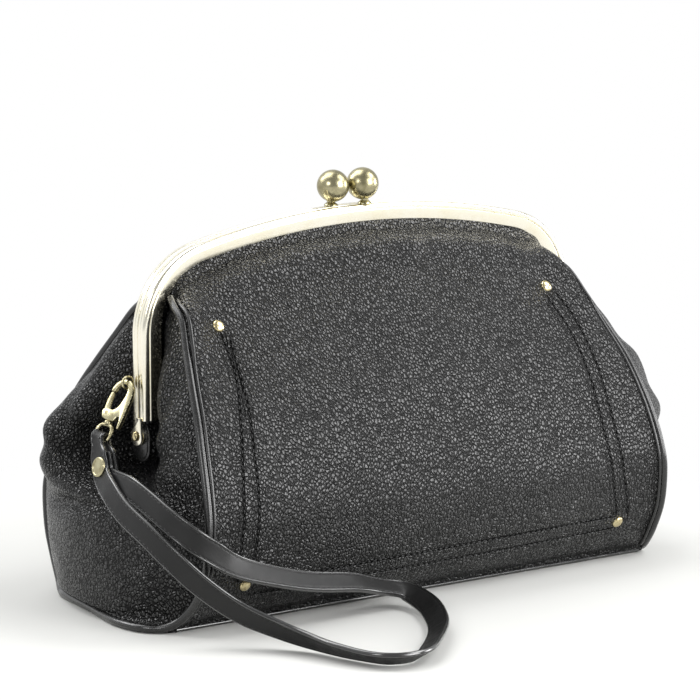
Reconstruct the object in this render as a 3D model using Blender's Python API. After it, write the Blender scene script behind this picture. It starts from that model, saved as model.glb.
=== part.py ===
"""Kiss-lock clutch bag: a leather body on a hinged metal frame, with a wrist strap clipped to it.

X runs along the bag, -Y is its front, +Z is up. The origin is the middle of the base, on the
surface that the bag stands on. Lengths are in metres.
"""

import math

import bpy
import bmesh
from mathutils import Matrix, Vector

# Clearance that pieces keep where they touch, and how far a cutter runs past what it cuts
GAP = 0.0003
OVERRUN = 0.002

# Frame: two channels bent to the same arch, hinged at the feet
FRAME_HALF_WIDTH = 0.1139
FRAME_TOP = 0.1612
CORNER_HEIGHT = 0.1148
CORNER_RADIUS = 0.0375
LEG_RISE = 0.0067
CHANNEL_DEPTH = 0.0046
CHANNEL_BAND = 0.0075
CHANNEL_LIP = 0.0050
CHANNEL_WALL = 0.0008
BAND_CROWN = 0.0003
HINGE_HEIGHT = 0.0733
TAB_RADIUS = 0.0044
TAB_THICKNESS = 0.0010
TAB_OVERLAP = 0.0080
RIVET_RADIUS = 0.0011
RIVET_HEAD_RADIUS = 0.0020
RIVET_HEAD_HEIGHT = 0.0012
PATCH_THICKNESS = 0.0010
PATCH_RADIUS = 0.0063
PATCH_DROP = 0.0048

# Kiss lock: a ball on each half, side by side
BALL_RADIUS = 0.0069
CLASP_OFFSET = -0.0055
BALL_LEAN = 0.0014
POST_RADIUS = 0.0021
POST_NECK = 0.0015
POST_HEIGHT = 0.0010

# Body of the bag
BODY_HALF_WIDTH = 0.1216
BODY_HALF_DEPTH = 0.0610
REAR_DEPTH_SHARE = 0.965
BELLY_HEIGHT = 0.0400
BASE_HALF_DEPTH = 0.0415
SEAM_MEETS_FRAME = 0.0922
LEATHER = 0.0012
PANEL_FULLNESS = 0.0030
PIPING_RADIUS = 0.0017
BASE_THICKNESS = 0.0016
FRONT_LEFT_SPREAD = 0.0174
REAR_LEFT_SPREAD = 0.0094
FRONT_RIGHT_SPREAD = 0.0084
REAR_RIGHT_SPREAD = 0.0074
GUSSET_SPREAD = 0.0179
LOBE = 0.0260
SMALL_LOBE = 0.0120
CREASE_HEIGHT = 0.0500
PINCH_HEIGHT = 0.0610
FOLD_DEPTH = 0.0065
FOLD_HALF_GAP = 0.0008

# Inside
LINING = 0.0006
LINING_SPACE = 0.0012
BOARD_THICKNESS = 0.0016
BOARD_INSET = 0.0080
BOARD_END_INSET = 0.0154
POCKET_HALF_WIDTH = 0.0600
POCKET_LOW = 0.0300
POCKET_HIGH = 0.0850
CORD_RADIUS = 0.0004

# Front studs
STUD_RADIUS = 0.0024
STUD_HEIGHT = 0.0013
UPPER_STUD_HEIGHT = 0.1202
LOWER_STUD_HEIGHT = 0.0182

# Wrist strap and its clip
RING_HEIGHT = 0.0957
RING_RADIUS = 0.0031
RING_HOLE = 0.0020
RING_THICKNESS = 0.0012
CLIP_THICKNESS = 0.0020
CLIP_LENGTH = 0.0176
CLIP_HALF_WIDTH = 0.0056
GATE_THICKNESS = 0.0007
GATE_PIN_RADIUS = 0.0006
SWIVEL_RADIUS = 0.0011
EYE_HALF_WIDTH = 0.0047
EYE_HEIGHT = 0.0078
EYE_WIRE = 0.0008
STRAP_WIDTH = 0.0098
STRAP_NECK = 0.0060
STRAP_THICKNESS = 0.0020
STRAP_RIVET_RADIUS = 0.0042
STRAP_SHANK_RADIUS = 0.0010
STRAP_RIVET_RISE = 0.0009
TAB_RUN = 0.0180
TAB_RIVET = 0.0135
STRAP_DROP = 0.1500
STRAP_INSET = 0.0082

# Colours as shown
BRASS = (0.42, 0.36, 0.20)
PALE_BRASS = (0.62, 0.56, 0.34)
GRAIN_LEATHER = (0.012, 0.012, 0.012)
SMOOTH_LEATHER = (0.010, 0.010, 0.011)
LINING_CLOTH = (0.045, 0.040, 0.038)
BOARD = (0.30, 0.27, 0.22)
PAPER = (0.45, 0.38, 0.27)


def clear_scene():
    for obj in list(bpy.data.objects):
        bpy.data.objects.remove(obj, do_unlink=True)


def material(name, colour, roughness, metallic=0.0):
    found = bpy.data.materials.get(name)
    if found:
        return found
    made = bpy.data.materials.new(name)
    made.use_nodes = True
    shader = made.node_tree.nodes["Principled BSDF"]
    shader.inputs["Base Color"].default_value = (*colour, 1.0)
    shader.inputs["Roughness"].default_value = roughness
    shader.inputs["Metallic"].default_value = metallic
    made.diffuse_color = (*colour, 1.0)
    return made


def brass(node):
    return material(node + "_brass", BRASS, 0.38, 1.0)


def pale_brass(node):
    return material(node + "_pale_brass", PALE_BRASS, 0.30, 1.0)


def grain_leather(node):
    return material(node + "_grain_leather", GRAIN_LEATHER, 0.45)


def smooth_leather(node):
    return material(node + "_smooth_leather", SMOOTH_LEATHER, 0.35)


def cloth(node):
    return material(node + "_cloth", LINING_CLOTH, 0.90)


def add(name, mesh, finish, origin=(0, 0, 0)):
    """An object of this mesh, whose points are in world places, with its origin at the point."""
    mesh.transform(Matrix.Translation(-Vector(origin)))
    mesh.materials.append(finish)
    obj = bpy.data.objects.new(name, mesh)
    obj.location = origin
    bpy.context.scene.collection.objects.link(obj)
    return obj


def mesh_of(bm, name, smooth_angle=40):
    bmesh.ops.recalc_face_normals(bm, faces=bm.faces)
    mesh = bpy.data.meshes.new(name)
    bm.to_mesh(mesh)
    bm.free()
    mesh.shade_smooth()
    mesh.set_sharp_from_angle(angle=math.radians(smooth_angle))
    return mesh


def swept(name, rings):
    """A closed solid through like rings of points, with flat ends."""
    bm = bmesh.new()
    loops = [[bm.verts.new(p) for p in ring] for ring in rings]
    count = len(loops[0])
    for low, high in zip(loops, loops[1:]):
        for i in range(count):
            j = (i + 1) % count
            bm.faces.new((low[i], low[j], high[j], high[i]))
    bm.faces.new(loops[0])
    bm.faces.new(loops[-1])
    return mesh_of(bm, name)


def turned(name, profile, base, direction, sides=20):
    """A solid turned from (radius, height) points about the direction, its ends on the axis."""
    bm = bmesh.new()
    points = [bm.verts.new((r, 0, h)) for r, h in profile]
    edges = [bm.edges.new(pair) for pair in zip(points, points[1:])]
    bmesh.ops.spin(
        bm, geom=points + edges, cent=(0, 0, 0), axis=(0, 0, 1), angle=2 * math.pi, steps=sides,
        use_merge=True,
    )
    bmesh.ops.remove_doubles(bm, verts=bm.verts, dist=GAP / 1000)
    turn = Vector((0, 0, 1)).rotation_difference(Vector(direction)).to_matrix().to_4x4()
    bm.transform(Matrix.Translation(base) @ turn)
    return mesh_of(bm, name)


def plate(name, outline, low, high, place):
    """A plate of the outline, a list of (a, b), from low to high along its third axis."""
    rings = [[place @ Vector((a, b, c)) for a, b in outline] for c in (low, high)]
    return swept(name, rings)


def sheet(name, rows, thickness, finish, origin=(0, 0, 0), inward=None):
    """A sheet through a grid of outer points, thickened towards the inward point."""
    bm = bmesh.new()
    grid = [[bm.verts.new(p) for p in row] for row in rows]
    for low, high in zip(grid, grid[1:]):
        for i in range(len(low) - 1):
            bm.faces.new((low[i], low[i + 1], high[i + 1], high[i]))
    bmesh.ops.recalc_face_normals(bm, faces=bm.faces)
    inward = Vector(inward or (0, 0, BELLY_HEIGHT))
    face = max(bm.faces, key=lambda f: f.calc_area())
    if face.normal.dot(inward - face.calc_center_median()) > 0:
        bmesh.ops.reverse_faces(bm, faces=bm.faces)
    mesh = bpy.data.meshes.new(name)
    bm.to_mesh(mesh)
    bm.free()
    mesh.shade_smooth()
    obj = add(name, mesh, finish, origin)
    wall = obj.modifiers.new("Wall", "SOLIDIFY")
    wall.thickness = thickness
    wall.offset = -1.0
    wall.use_even_offset = False
    return obj


def tube(name, points, radius, finish, resolution=2):
    curve = bpy.data.curves.new(name, "CURVE")
    curve.dimensions = "3D"
    curve.bevel_depth = radius
    curve.bevel_resolution = resolution
    curve.use_fill_caps = True
    line = curve.splines.new("POLY")
    line.points.add(len(points) - 1)
    for point, place in zip(line.points, points):
        point.co = (*place, 1.0)
    curve.materials.append(finish)
    obj = bpy.data.objects.new(name, curve)
    bpy.context.scene.collection.objects.link(obj)
    return obj


def boolean(obj, other, operation):
    """Joins the other to the object, or cuts it out of it."""
    other.hide_render = True
    other.display_type = "WIRE"
    step = obj.modifiers.new(other.name, "BOOLEAN")
    step.operation = operation
    step.object = other
    step.solver = "EXACT"


def smooth_through(points, steps):
    """Points along a smooth curve through the given ones, with this many steps between each two."""
    points = [Vector(p) for p in points]
    ends = [2 * points[0] - points[1], *points, 2 * points[-1] - points[-2]]
    found = []
    for a, b, c, d in zip(ends, ends[1:], ends[2:], ends[3:]):
        for k in range(steps):
            t = k / steps
            found.append(
                0.5 * (2 * b + (c - a) * t + (2 * a - 5 * b + 4 * c - d) * t**2
                       + (3 * b - a - 3 * c + d) * t**3)
            )
    return [*found, points[-1]]


def interpolated(table, value):
    """The table's second column where its first is the value, along straight lines."""
    for (a, low), (b, high) in zip(table, table[1:]):
        if value <= b:
            share = max(0.0, (value - a) / (b - a))
            return low + (high - low) * share
    return table[-1][1]


def eased(low, high, value):
    share = min(1.0, max(0.0, (value - low) / (high - low)))
    return share * share * (3 - 2 * share)


def mixed(a, b, share):
    return a + (b - a) * share


# The arch that both frame halves follow, its legs ending above the hinge
LEG_FOOT = HINGE_HEIGHT + LEG_RISE
CORNER_X = FRAME_HALF_WIDTH - CORNER_RADIUS
TOP_RISE = FRAME_TOP - CORNER_HEIGHT
TOP_RADIUS = (CORNER_X**2 + TOP_RISE**2 - CORNER_RADIUS**2) / (2 * (TOP_RISE - CORNER_RADIUS))
TOP_CENTRE = FRAME_TOP - TOP_RADIUS
CORNER_ANGLE = math.atan2(CORNER_HEIGHT - TOP_CENTRE, CORNER_X)


def arch_station(angle_share, side=1):
    """Centre, radius and outward direction of the arch, from 0 at the corner's foot to 2 at the top."""
    if angle_share <= 1:
        angle = CORNER_ANGLE * angle_share
        centre, radius = (side * CORNER_X, CORNER_HEIGHT), CORNER_RADIUS
    else:
        angle = mixed(CORNER_ANGLE, math.pi / 2, angle_share - 1)
        centre, radius = (0.0, TOP_CENTRE), TOP_RADIUS
    return centre, radius, (side * math.cos(angle), math.sin(angle))


def arch_point(station, inset):
    (cx, cz), radius, (ux, uz) = station
    return cx + (radius - inset) * ux, cz + (radius - inset) * uz


def station_at(x, inset):
    """The station whose point at this inset lies at x."""
    side = -1 if x < 0 else 1
    junction = CORNER_X + (CORNER_RADIUS - inset) * math.cos(CORNER_ANGLE)
    if abs(x) > junction:
        angle = math.acos(min(1.0, (abs(x) - CORNER_X) / (CORNER_RADIUS - inset)))
        return arch_station(angle / CORNER_ANGLE, side)
    angle = math.acos(abs(x) / (TOP_RADIUS - inset))
    share = (angle - CORNER_ANGLE) / (math.pi / 2 - CORNER_ANGLE)
    return arch_station(1 + share, side)


def leg_edge(height, inset):
    """How far out the arch reaches at this height, this far in from its outer edge."""
    if height <= CORNER_HEIGHT:
        return FRAME_HALF_WIDTH - inset
    rise = height - CORNER_HEIGHT
    return CORNER_X + math.sqrt(max(0.0, (CORNER_RADIUS - inset) ** 2 - rise**2))


def arch_rows(section, side):
    """The channel's section, (inset, depth) points, set along the arch from foot to foot."""
    rings = []
    for end, height in ((-1, LEG_FOOT), (-1, mixed(LEG_FOOT, CORNER_HEIGHT, 0.5))):
        rings.append([(end * (FRAME_HALF_WIDTH - n), side * y, height) for n, y in section])
    corner_steps, top_steps = 9, 12
    shares = [k / corner_steps for k in range(corner_steps)]
    shares += [1 + k / top_steps for k in range(top_steps + 1)]
    for share in shares:
        rings.append([
            (x, side * y, z) for n, y in section for x, z in [arch_point(arch_station(share, -1), n)]
        ])
    mirrored = [[(-x, y, z) for x, y, z in ring] for ring in reversed(rings[:-1])]
    return rings + mirrored


def hinge_tab(name, side, end, front):
    """A tab from the leg's outer wall to the hinge's axis, in the plane across X."""
    inner = FRAME_HALF_WIDTH - TAB_THICKNESS
    outer = FRAME_HALF_WIDTH
    if front:
        inner, outer = FRAME_HALF_WIDTH + GAP, FRAME_HALF_WIDTH + GAP + TAB_THICKNESS
    steps = 14
    neck_high = LEG_FOOT + TAB_OVERLAP
    narrow, wide = GAP / 2, CHANNEL_DEPTH - GAP
    outline = [
        (narrow, neck_high),
        (wide, neck_high),
        (wide, HINGE_HEIGHT),
    ]
    for k in range(1, steps):
        angle = -math.pi * k / steps
        outline.append((
            mixed(-TAB_RADIUS, TAB_RADIUS, 0.5 + 0.5 * math.cos(angle)),
            HINGE_HEIGHT + TAB_RADIUS * math.sin(angle),
        ))
    outline.append((-TAB_RADIUS, HINGE_HEIGHT))
    outline.append((-TAB_RADIUS * 0.7, HINGE_HEIGHT + TAB_RADIUS * 0.8))
    outline.append((narrow, LEG_FOOT - GAP))
    place = Matrix(((0, 0, end, 0), (side, 0, 0, 0), (0, 1, 0, 0), (0, 0, 0, 1)))
    tab = add(name, plate(name, outline, inner, outer, place), brass(name))
    if front:
        # The front tab steps out over the rear one, through a block on the leg's wall
        block = [(narrow, LEG_FOOT), (wide, LEG_FOOT), (wide, neck_high), (narrow, neck_high)]
        low, high = FRAME_HALF_WIDTH - CHANNEL_WALL / 2, outer - TAB_THICKNESS / 4
        step = add(name + "_step", plate(name + "_step", block, low, high, place), brass(name))
        return [tab, step]
    return [tab]


def frame_half(name, side, origin):
    wall, depth = CHANNEL_WALL, CHANNEL_DEPTH
    near = GAP / 2
    section = [
        (0.0, near),
        (0.0, depth - wall / 2),
        (wall / 2, depth),
        (CHANNEL_BAND / 2, depth + BAND_CROWN),
        (CHANNEL_BAND, depth - wall / 4),
        (CHANNEL_BAND, depth - wall),
        (wall, depth - wall),
        (wall, near + wall),
        (CHANNEL_LIP, near + wall),
        (CHANNEL_LIP, near),
    ]
    half = add(name, swept(name, arch_rows(section, side)), brass(name), origin)
    for end in (-1, 1):
        tag = "left" if end < 0 else "right"
        for piece in hinge_tab(f"{name}_{tag}_tab", side, end, side < 0):
            boolean(half, piece, "UNION")
        hole = turned(
            f"{name}_{tag}_hole",
            [(0, -OVERRUN), (RIVET_RADIUS + GAP, -OVERRUN),
             (RIVET_RADIUS + GAP, 2 * OVERRUN), (0, 2 * OVERRUN)],
            (end * FRAME_HALF_WIDTH, 0, HINGE_HEIGHT), (end, 0, 0), 16,
        )
        boolean(half, add(f"{name}_{tag}_hole", hole, brass(name)), "DIFFERENCE")
    return half


def hinge_rivets_and_patches():
    for end, tag in ((-1, "left"), (1, "right")):
        head_seat = FRAME_HALF_WIDTH + 2 * GAP + TAB_THICKNESS
        patch_high = FRAME_HALF_WIDTH - TAB_THICKNESS - GAP
        patch_low = patch_high - PATCH_THICKNESS
        tail_seat = patch_low - GAP
        r, head, rise = RIVET_RADIUS, RIVET_HEAD_RADIUS, RIVET_HEAD_HEIGHT
        profile = [
            (0, tail_seat - rise / 2),
            (head, tail_seat - rise / 2),
            (head, tail_seat),
            (r, tail_seat),
            (r, head_seat),
            (head, head_seat),
            (head, head_seat + rise / 3),
            (head * 0.8, head_seat + rise * 0.75),
            (head * 0.4, head_seat + rise * 0.95),
            (0, head_seat + rise),
        ]
        name = f"{tag}_hinge_rivet"
        rivet = turned(name, profile, (0, 0, HINGE_HEIGHT), (end, 0, 0), 20)
        add(name, rivet, pale_brass(name), (end * FRAME_HALF_WIDTH, 0, HINGE_HEIGHT))
        outline = []
        steps = 12
        for low, middle in ((0, HINGE_HEIGHT), (math.pi, HINGE_HEIGHT - PATCH_DROP)):
            for k in range(steps + 1):
                angle = low + math.pi * k / steps
                outline.append((PATCH_RADIUS * math.cos(angle), middle + PATCH_RADIUS * math.sin(angle)))
        place = Matrix(((0, 0, end, 0), (1, 0, 0, 0), (0, 1, 0, 0), (0, 0, 0, 1)))
        name = f"{tag}_hinge_patch"
        patch = add(name, plate(name, outline, patch_low, patch_high, place), smooth_leather(name))
        hole = turned(
            name + "_hole",
            [(0, -OVERRUN), (r + GAP, -OVERRUN), (r + GAP, OVERRUN), (0, OVERRUN)],
            (end * patch_low, 0, HINGE_HEIGHT), (end, 0, 0), 16,
        )
        boolean(patch, add(name + "_hole", hole, brass(name)), "DIFFERENCE")


def clasp(name, x, side, origin):
    """A ball that leans over the parting line, on a flared post."""
    seat = Vector((x, side * (CHANNEL_DEPTH - POST_RADIUS), arch_point(station_at(x, 0), 0)[1] + GAP))
    centre = seat + Vector((0, -side * BALL_LEAN, POST_HEIGHT + GAP + BALL_RADIUS))
    direction = (centre - seat).normalized()
    post = [
        (0, 0),
        (POST_RADIUS, 0),
        (POST_RADIUS, POST_HEIGHT * 0.25),
        (POST_NECK, POST_HEIGHT * 0.8),
        (POST_NECK, POST_HEIGHT),
        (0, POST_HEIGHT),
    ]
    post_name = name.replace("ball", "post")
    add(post_name, turned(post_name, post, seat, (0, 0, 1), 16), brass(post_name), origin)
    steps = 10
    ball = [
        (BALL_RADIUS * math.sin(math.pi * k / steps), -BALL_RADIUS * math.cos(math.pi * k / steps))
        for k in range(1, steps)
    ]
    ball = [(0, -BALL_RADIUS), *ball, (0, BALL_RADIUS)]
    add(name, turned(name, ball, centre, direction, 20), brass(name), origin)


# Seam between panel and gusset, from the frame down, as shares of the drop from frame to belly
# and of how much wider and deeper the bag is at the belly than at the frame
UPPER_SEAM_SHARES = [
    (1.000, 0.000, 0.000),
    (0.930, 0.093, 0.218),
    (0.840, 0.227, 0.396),
    (0.738, 0.363, 0.510),
    (0.606, 0.540, 0.654),
    (0.475, 0.707, 0.779),
    (0.344, 0.828, 0.869),
    (0.212, 0.928, 0.933),
    (0.090, 0.990, 0.975),
    (0.000, 1.000, 1.000),
]
# Height as a share of the belly's, depth as a share of the way from the base's edge to the belly,
# and width as a share of the way from the belly's width to the end's reach
LOWER_SEAM_SHARES = [
    (0.650, 0.920, 0.020),
    (0.350, 0.640, 0.090),
    (0.150, 0.310, 0.260),
    (0.055, 0.000, 0.540),
]
# Along the end of the base: depth as a share of the base's, width as a share of the end's reach,
# and how far that reach has come from the one at the end's middle
END_SHARES = [
    (0.820, 0.985, 1.00),
    (0.480, 1.000, 0.90),
    (0.160, 1.000, 0.35),
]
SEAM_STEPS = 2
SEAM_TOP_INSET = CHANNEL_BAND + PIPING_RADIUS
SEAM_TOP = arch_point(station_at(SEAM_MEETS_FRAME, SEAM_TOP_INSET), SEAM_TOP_INSET)[1]
SEAM_TOP_DEPTH = CHANNEL_DEPTH + PIPING_RADIUS / 2
SEAM_FOOT = PIPING_RADIUS + GAP
# How far out the ends of the base reach, by side (-1 the front) and end (-1 the left)
REACHES = {
    (-1, -1): BODY_HALF_WIDTH + FRONT_LEFT_SPREAD,
    (1, -1): BODY_HALF_WIDTH + REAR_LEFT_SPREAD,
    (-1, 1): BODY_HALF_WIDTH + FRONT_RIGHT_SPREAD,
    (1, 1): BODY_HALF_WIDTH + REAR_RIGHT_SPREAD,
}
GUSSET_REACH = BODY_HALF_WIDTH + GUSSET_SPREAD


def depth_share(side):
    return 1.0 if side < 0 else REAR_DEPTH_SHARE


def seam_knots(side, end):
    reach = REACHES[side, end]
    share = depth_share(side)
    knots = []
    for up, out, wide in UPPER_SEAM_SHARES:
        knots.append((
            mixed(SEAM_MEETS_FRAME, BODY_HALF_WIDTH, wide),
            mixed(SEAM_TOP_DEPTH, BODY_HALF_DEPTH * share, out),
            mixed(BELLY_HEIGHT, SEAM_TOP, up),
        ))
    for up, out, wide in LOWER_SEAM_SHARES:
        knots.append((
            mixed(BODY_HALF_WIDTH, reach, wide),
            mixed(BASE_HALF_DEPTH, BODY_HALF_DEPTH, out) * share,
            max(SEAM_FOOT, BELLY_HEIGHT * up),
        ))
    return knots


def end_knots(side, end):
    reach, depth = REACHES[side, end], BASE_HALF_DEPTH * depth_share(side)
    return [
        (mixed(end_middle(end), reach, own) * wide, depth * out, SEAM_FOOT)
        for out, wide, own in END_SHARES
    ]


def seam(side, end=-1):
    """Half width, half depth and height along the seam from the frame to the base's corner."""
    return smooth_through(seam_knots(side, end), SEAM_STEPS)


def end_middle(end):
    return 0.5 * (REACHES[-1, end] + REACHES[1, end])


def welt(side, end):
    """The piping's line, from the frame down the seam and round the base's end to its middle."""
    middle = (end_middle(end), PIPING_RADIUS / 2, SEAM_FOOT)
    return smooth_through([*seam_knots(side, end), *end_knots(side, end), middle], SEAM_STEPS)


def base_end(side, end):
    """Half width and half depth of the piping along the base's end, from corner to middle."""
    corner = seam_knots(side, end)[-1]
    knots = [corner, *end_knots(side, end), (end_middle(end), 0.0, SEAM_FOOT)]
    return [(p.x, p.y) for p in smooth_through(knots, 2 * SEAM_STEPS)]


def pipings():
    for end, across in ((-1, "left"), (1, "right")):
        for side, along in ((-1, "front"), (1, "rear")):
            name = f"{along}_{across}_piping"
            points = [(end * x, side * y, z) for x, y, z in welt(side, end)]
            tube(name, points, PIPING_RADIUS, smooth_leather(name), 1)


def direction_at(points, i):
    before, after = points[max(0, i - 1)], points[min(len(points) - 1, i + 1)]
    return (Vector(after) - Vector(before)).normalized()


SEAM_CLEAR = PIPING_RADIUS + 2 * GAP
PANEL_COLUMNS = 18


def panel_rows(side):
    """Outer points of a panel from its base edge up into the frame, as rows from side to side."""
    line = seam(side)
    split = SEAM_STEPS * (len(UPPER_SEAM_SHARES) - 1) + 1
    foot = BASE_HALF_DEPTH * depth_share(side) + LEATHER + 2 * GAP
    profile = [Vector((BODY_HALF_WIDTH, foot, GAP))]
    for x, y, z in reversed(line[split:]):
        if z > 2 * PIPING_RADIUS:
            profile.append(Vector((BODY_HALF_WIDTH, max(y, foot), z)))
    profile += list(reversed(line[1:split]))
    shares = [-1 + 2 * k / PANEL_COLUMNS for k in range(PANEL_COLUMNS + 1)]
    under_band, in_channel = CHANNEL_BAND + 2 * GAP, CHANNEL_WALL + 2 * GAP
    side_top = arch_point(station_at(SEAM_MEETS_FRAME, under_band), under_band)[1]
    rows = []
    for i, (x, y, z) in enumerate(profile):
        run = direction_at(profile, i)
        level = math.sqrt(max(0.1, 1 - run.x**2))
        rise = max(0.0, (z - BELLY_HEIGHT) / (SEAM_TOP - BELLY_HEIGHT))
        edge = x - SEAM_CLEAR / level - PIPING_RADIUS * 0.5 * rise**4
        row = []
        for u in shares:
            top = arch_point(station_at(SEAM_MEETS_FRAME * u, under_band), under_band)[1]
            lift = (top - side_top) * rise**1.5
            full = PANEL_FULLNESS * (1 - u * u) * math.sin(math.pi * min(1.0, z / SEAM_TOP))
            row.append((edge * u, side * (y + full), z + lift))
        rows.append(row)
    depth = CHANNEL_DEPTH - CHANNEL_WALL - GAP
    for inset in (under_band, in_channel):
        row = []
        for u in shares:
            station = station_at((SEAM_MEETS_FRAME - 2 * PIPING_RADIUS) * u, under_band)
            x, z = arch_point(station, inset)
            row.append((x, side * depth, z))
        rows.append(row)
    return rows


def build_panels():
    for side, name in ((-1, "front_panel"), (1, "rear_panel")):
        sheet(name, panel_rows(side), LEATHER, grain_leather(name))


def build_base():
    outline = []
    for end, order in ((-1, (1, -1)), (1, (-1, 1))):
        for i, side in enumerate(order):
            stretch = [(end * (x - SEAM_CLEAR), side * y) for x, y in base_end(side, end)]
            outline += stretch if i == 0 else list(reversed(stretch))[1:]
    flat = plate("base_panel", outline, 0.0, BASE_THICKNESS, Matrix.Identity(4))
    add("base_panel", flat, smooth_leather("base_panel"))
    x = min(REACHES.values()) - BOARD_END_INSET
    y = BASE_HALF_DEPTH - BOARD_INSET
    corner = BOARD_INSET / 2
    outline = [
        (x - corner, -y), (x, -y + corner), (x, y - corner), (x - corner, y),
        (corner - x, y), (-x, y - corner), (-x, corner - y), (corner - x, -y),
    ]
    low = BASE_THICKNESS + GAP
    board = plate("base_board", outline, low, low + BOARD_THICKNESS, Matrix.Identity(4))
    add("base_board", board, material("base_board", BOARD, 0.9))


# How deep the gusset's lobes are, by height as a share of the way from the pinch to the frame's end
LOBE_SHARES = [(0.0, 0.94), (0.18, 0.98), (0.34, 0.80), (0.48, 0.52), (0.65, 0.25), (0.85, 0.08), (1.0, 0.03)]
FOLD_SHARE = 0.24
# The fold between the frame's legs: place along it, depth as a share, half gap as a share
FOLD_SHARES = [(0.0, 1.0, 0.0), (0.25, 0.97, 1.1), (0.55, 0.5, 1.7), (0.85, 0.08, 3.2), (1.0, 0.0, 6.6)]


def gusset_point(front, rear, s, lobe_front, lobe_rear):
    """A point of the gusset's outside at s, from -1 at the front seam to 1 at the rear one."""
    z = mixed(front.z, rear.z, 0.5 + 0.5 * s)
    x_seam = mixed(front.x, rear.x, 0.5 + 0.5 * s)
    y_seam = mixed(-front.y, rear.y, 0.5 + 0.5 * s)
    # Below the pinch the gusset is one swelling
    power = 1.2 if s < 0 else 0.8
    puff = max(0.0, GUSSET_REACH - x_seam)
    low = Vector((x_seam + puff * (1 - s * s) ** power, y_seam, z))
    # Above it, a lobe lies on each side of the frame's leg, with a fold between them
    mouth = leg_edge(z, CHANNEL_BAND) - 2 * GAP
    q = abs(s)
    way = -1 if s < 0 else 1
    if q <= FOLD_SHARE:
        t = q / FOLD_SHARE
        depth = interpolated([(a, b) for a, b, _ in FOLD_SHARES], t)
        half = interpolated([(a, c) for a, _, c in FOLD_SHARES], t)
        high = Vector((mouth - FOLD_DEPTH * depth, way * FOLD_HALF_GAP * half, z))
    else:
        t = (q - FOLD_SHARE) / (1 - FOLD_SHARE)
        reach = lobe_front if s < 0 else lobe_rear
        rise = (z - PINCH_HEIGHT) / (SEAM_TOP - PINCH_HEIGHT)
        swell = reach * interpolated(LOBE_SHARES, rise) * math.sin(math.pi * t)
        seam_depth = front.y if s < 0 else rear.y
        seam_width = front.x if s < 0 else rear.x
        start = FOLD_HALF_GAP * FOLD_SHARES[-1][2]
        high = Vector((
            mixed(mouth, seam_width, t**0.8) + swell, way * mixed(start, seam_depth, t), z,
        ))
    return low.lerp(high, eased(CREASE_HEIGHT, PINCH_HEIGHT, z))


GUSSET_COLUMNS = 24


def gusset_rows(end, lobe_front, lobe_rear):
    """Outer points of a gusset, as rows from its foot up, each from the front seam to the rear one."""
    shares = [-1 + 2 * k / GUSSET_COLUMNS for k in range(GUSSET_COLUMNS + 1)]
    ends = {side: list(reversed([(y, x) for x, y in base_end(side, end)])) for side in (-1, 1)}
    rows = []
    # The foot stands on the base inside the piping, and turns out over it
    for back, height in ((1.0, BASE_THICKNESS + LEATHER), (0.5, SEAM_FOOT + SEAM_CLEAR + GAP)):
        row = []
        for s in shares:
            side = -1 if s < 0 else 1
            y = (BASE_HALF_DEPTH * depth_share(side) - SEAM_CLEAR * back) * s
            row.append((interpolated(ends[side], abs(y)) - SEAM_CLEAR * back, y, height))
        rows.append(row)
    front, rear = seam(-1, end), seam(1, end)
    for i in range(len(front) - 1, -1, -1):
        if not BELLY_HEIGHT * 0.14 < front[i].z < SEAM_TOP - 2 * SEAM_CLEAR:
            continue
        level = math.sqrt(max(0.1, 1 - direction_at(front, i).y ** 2))
        back = SEAM_CLEAR / level
        f = Vector((front[i].x, front[i].y - back, front[i].z))
        r = Vector((rear[i].x, rear[i].y - back, rear[i].z))
        rows.append([tuple(gusset_point(f, r, s, lobe_front, lobe_rear)) for s in shares])
    return rows


def build_gussets():
    for end, name, small in ((-1, "left_gusset", SMALL_LOBE), (1, "right_gusset", LOBE)):
        rows = [[(end * x, y, z) for x, y, z in row] for row in gusset_rows(end, small, LOBE)]
        sheet(name, rows, LEATHER, grain_leather(name))


def lining_half_width(z):
    """Half width of the lined space at a height: wide below the pinch, between the folds above it."""
    low = BODY_HALF_WIDTH - 2 * LEATHER - LINING_SPACE
    high = leg_edge(z, CHANNEL_BAND) - FOLD_DEPTH - 2 * LEATHER - LINING_SPACE
    return mixed(low, high, eased(CREASE_HEIGHT - 2 * FOLD_DEPTH, CREASE_HEIGHT, z))


LINING_FLOOR = BASE_THICKNESS + BOARD_THICKNESS + 3 * GAP + LINING
LINING_COLUMNS = 14


def lining_profile(side):
    """Half depth and height of the lining, from the middle of its floor up towards the frame."""
    inset = LEATHER + LINING_SPACE
    foot = BASE_HALF_DEPTH * depth_share(side) - inset
    found = [(GAP, LINING_FLOOR), (foot, LINING_FLOOR)]
    line = smooth_through(seam_knots(side, -1), 1)
    for i, p in enumerate(line):
        if LINING_FLOOR + 2 * LINING_SPACE < p.z < SEAM_TOP - 2 * CHANNEL_LIP:
            level = math.sqrt(max(0.1, 1 - direction_at(line, i).y ** 2))
            found.insert(2, (p.y - inset / level, p.z))
    return found


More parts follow.
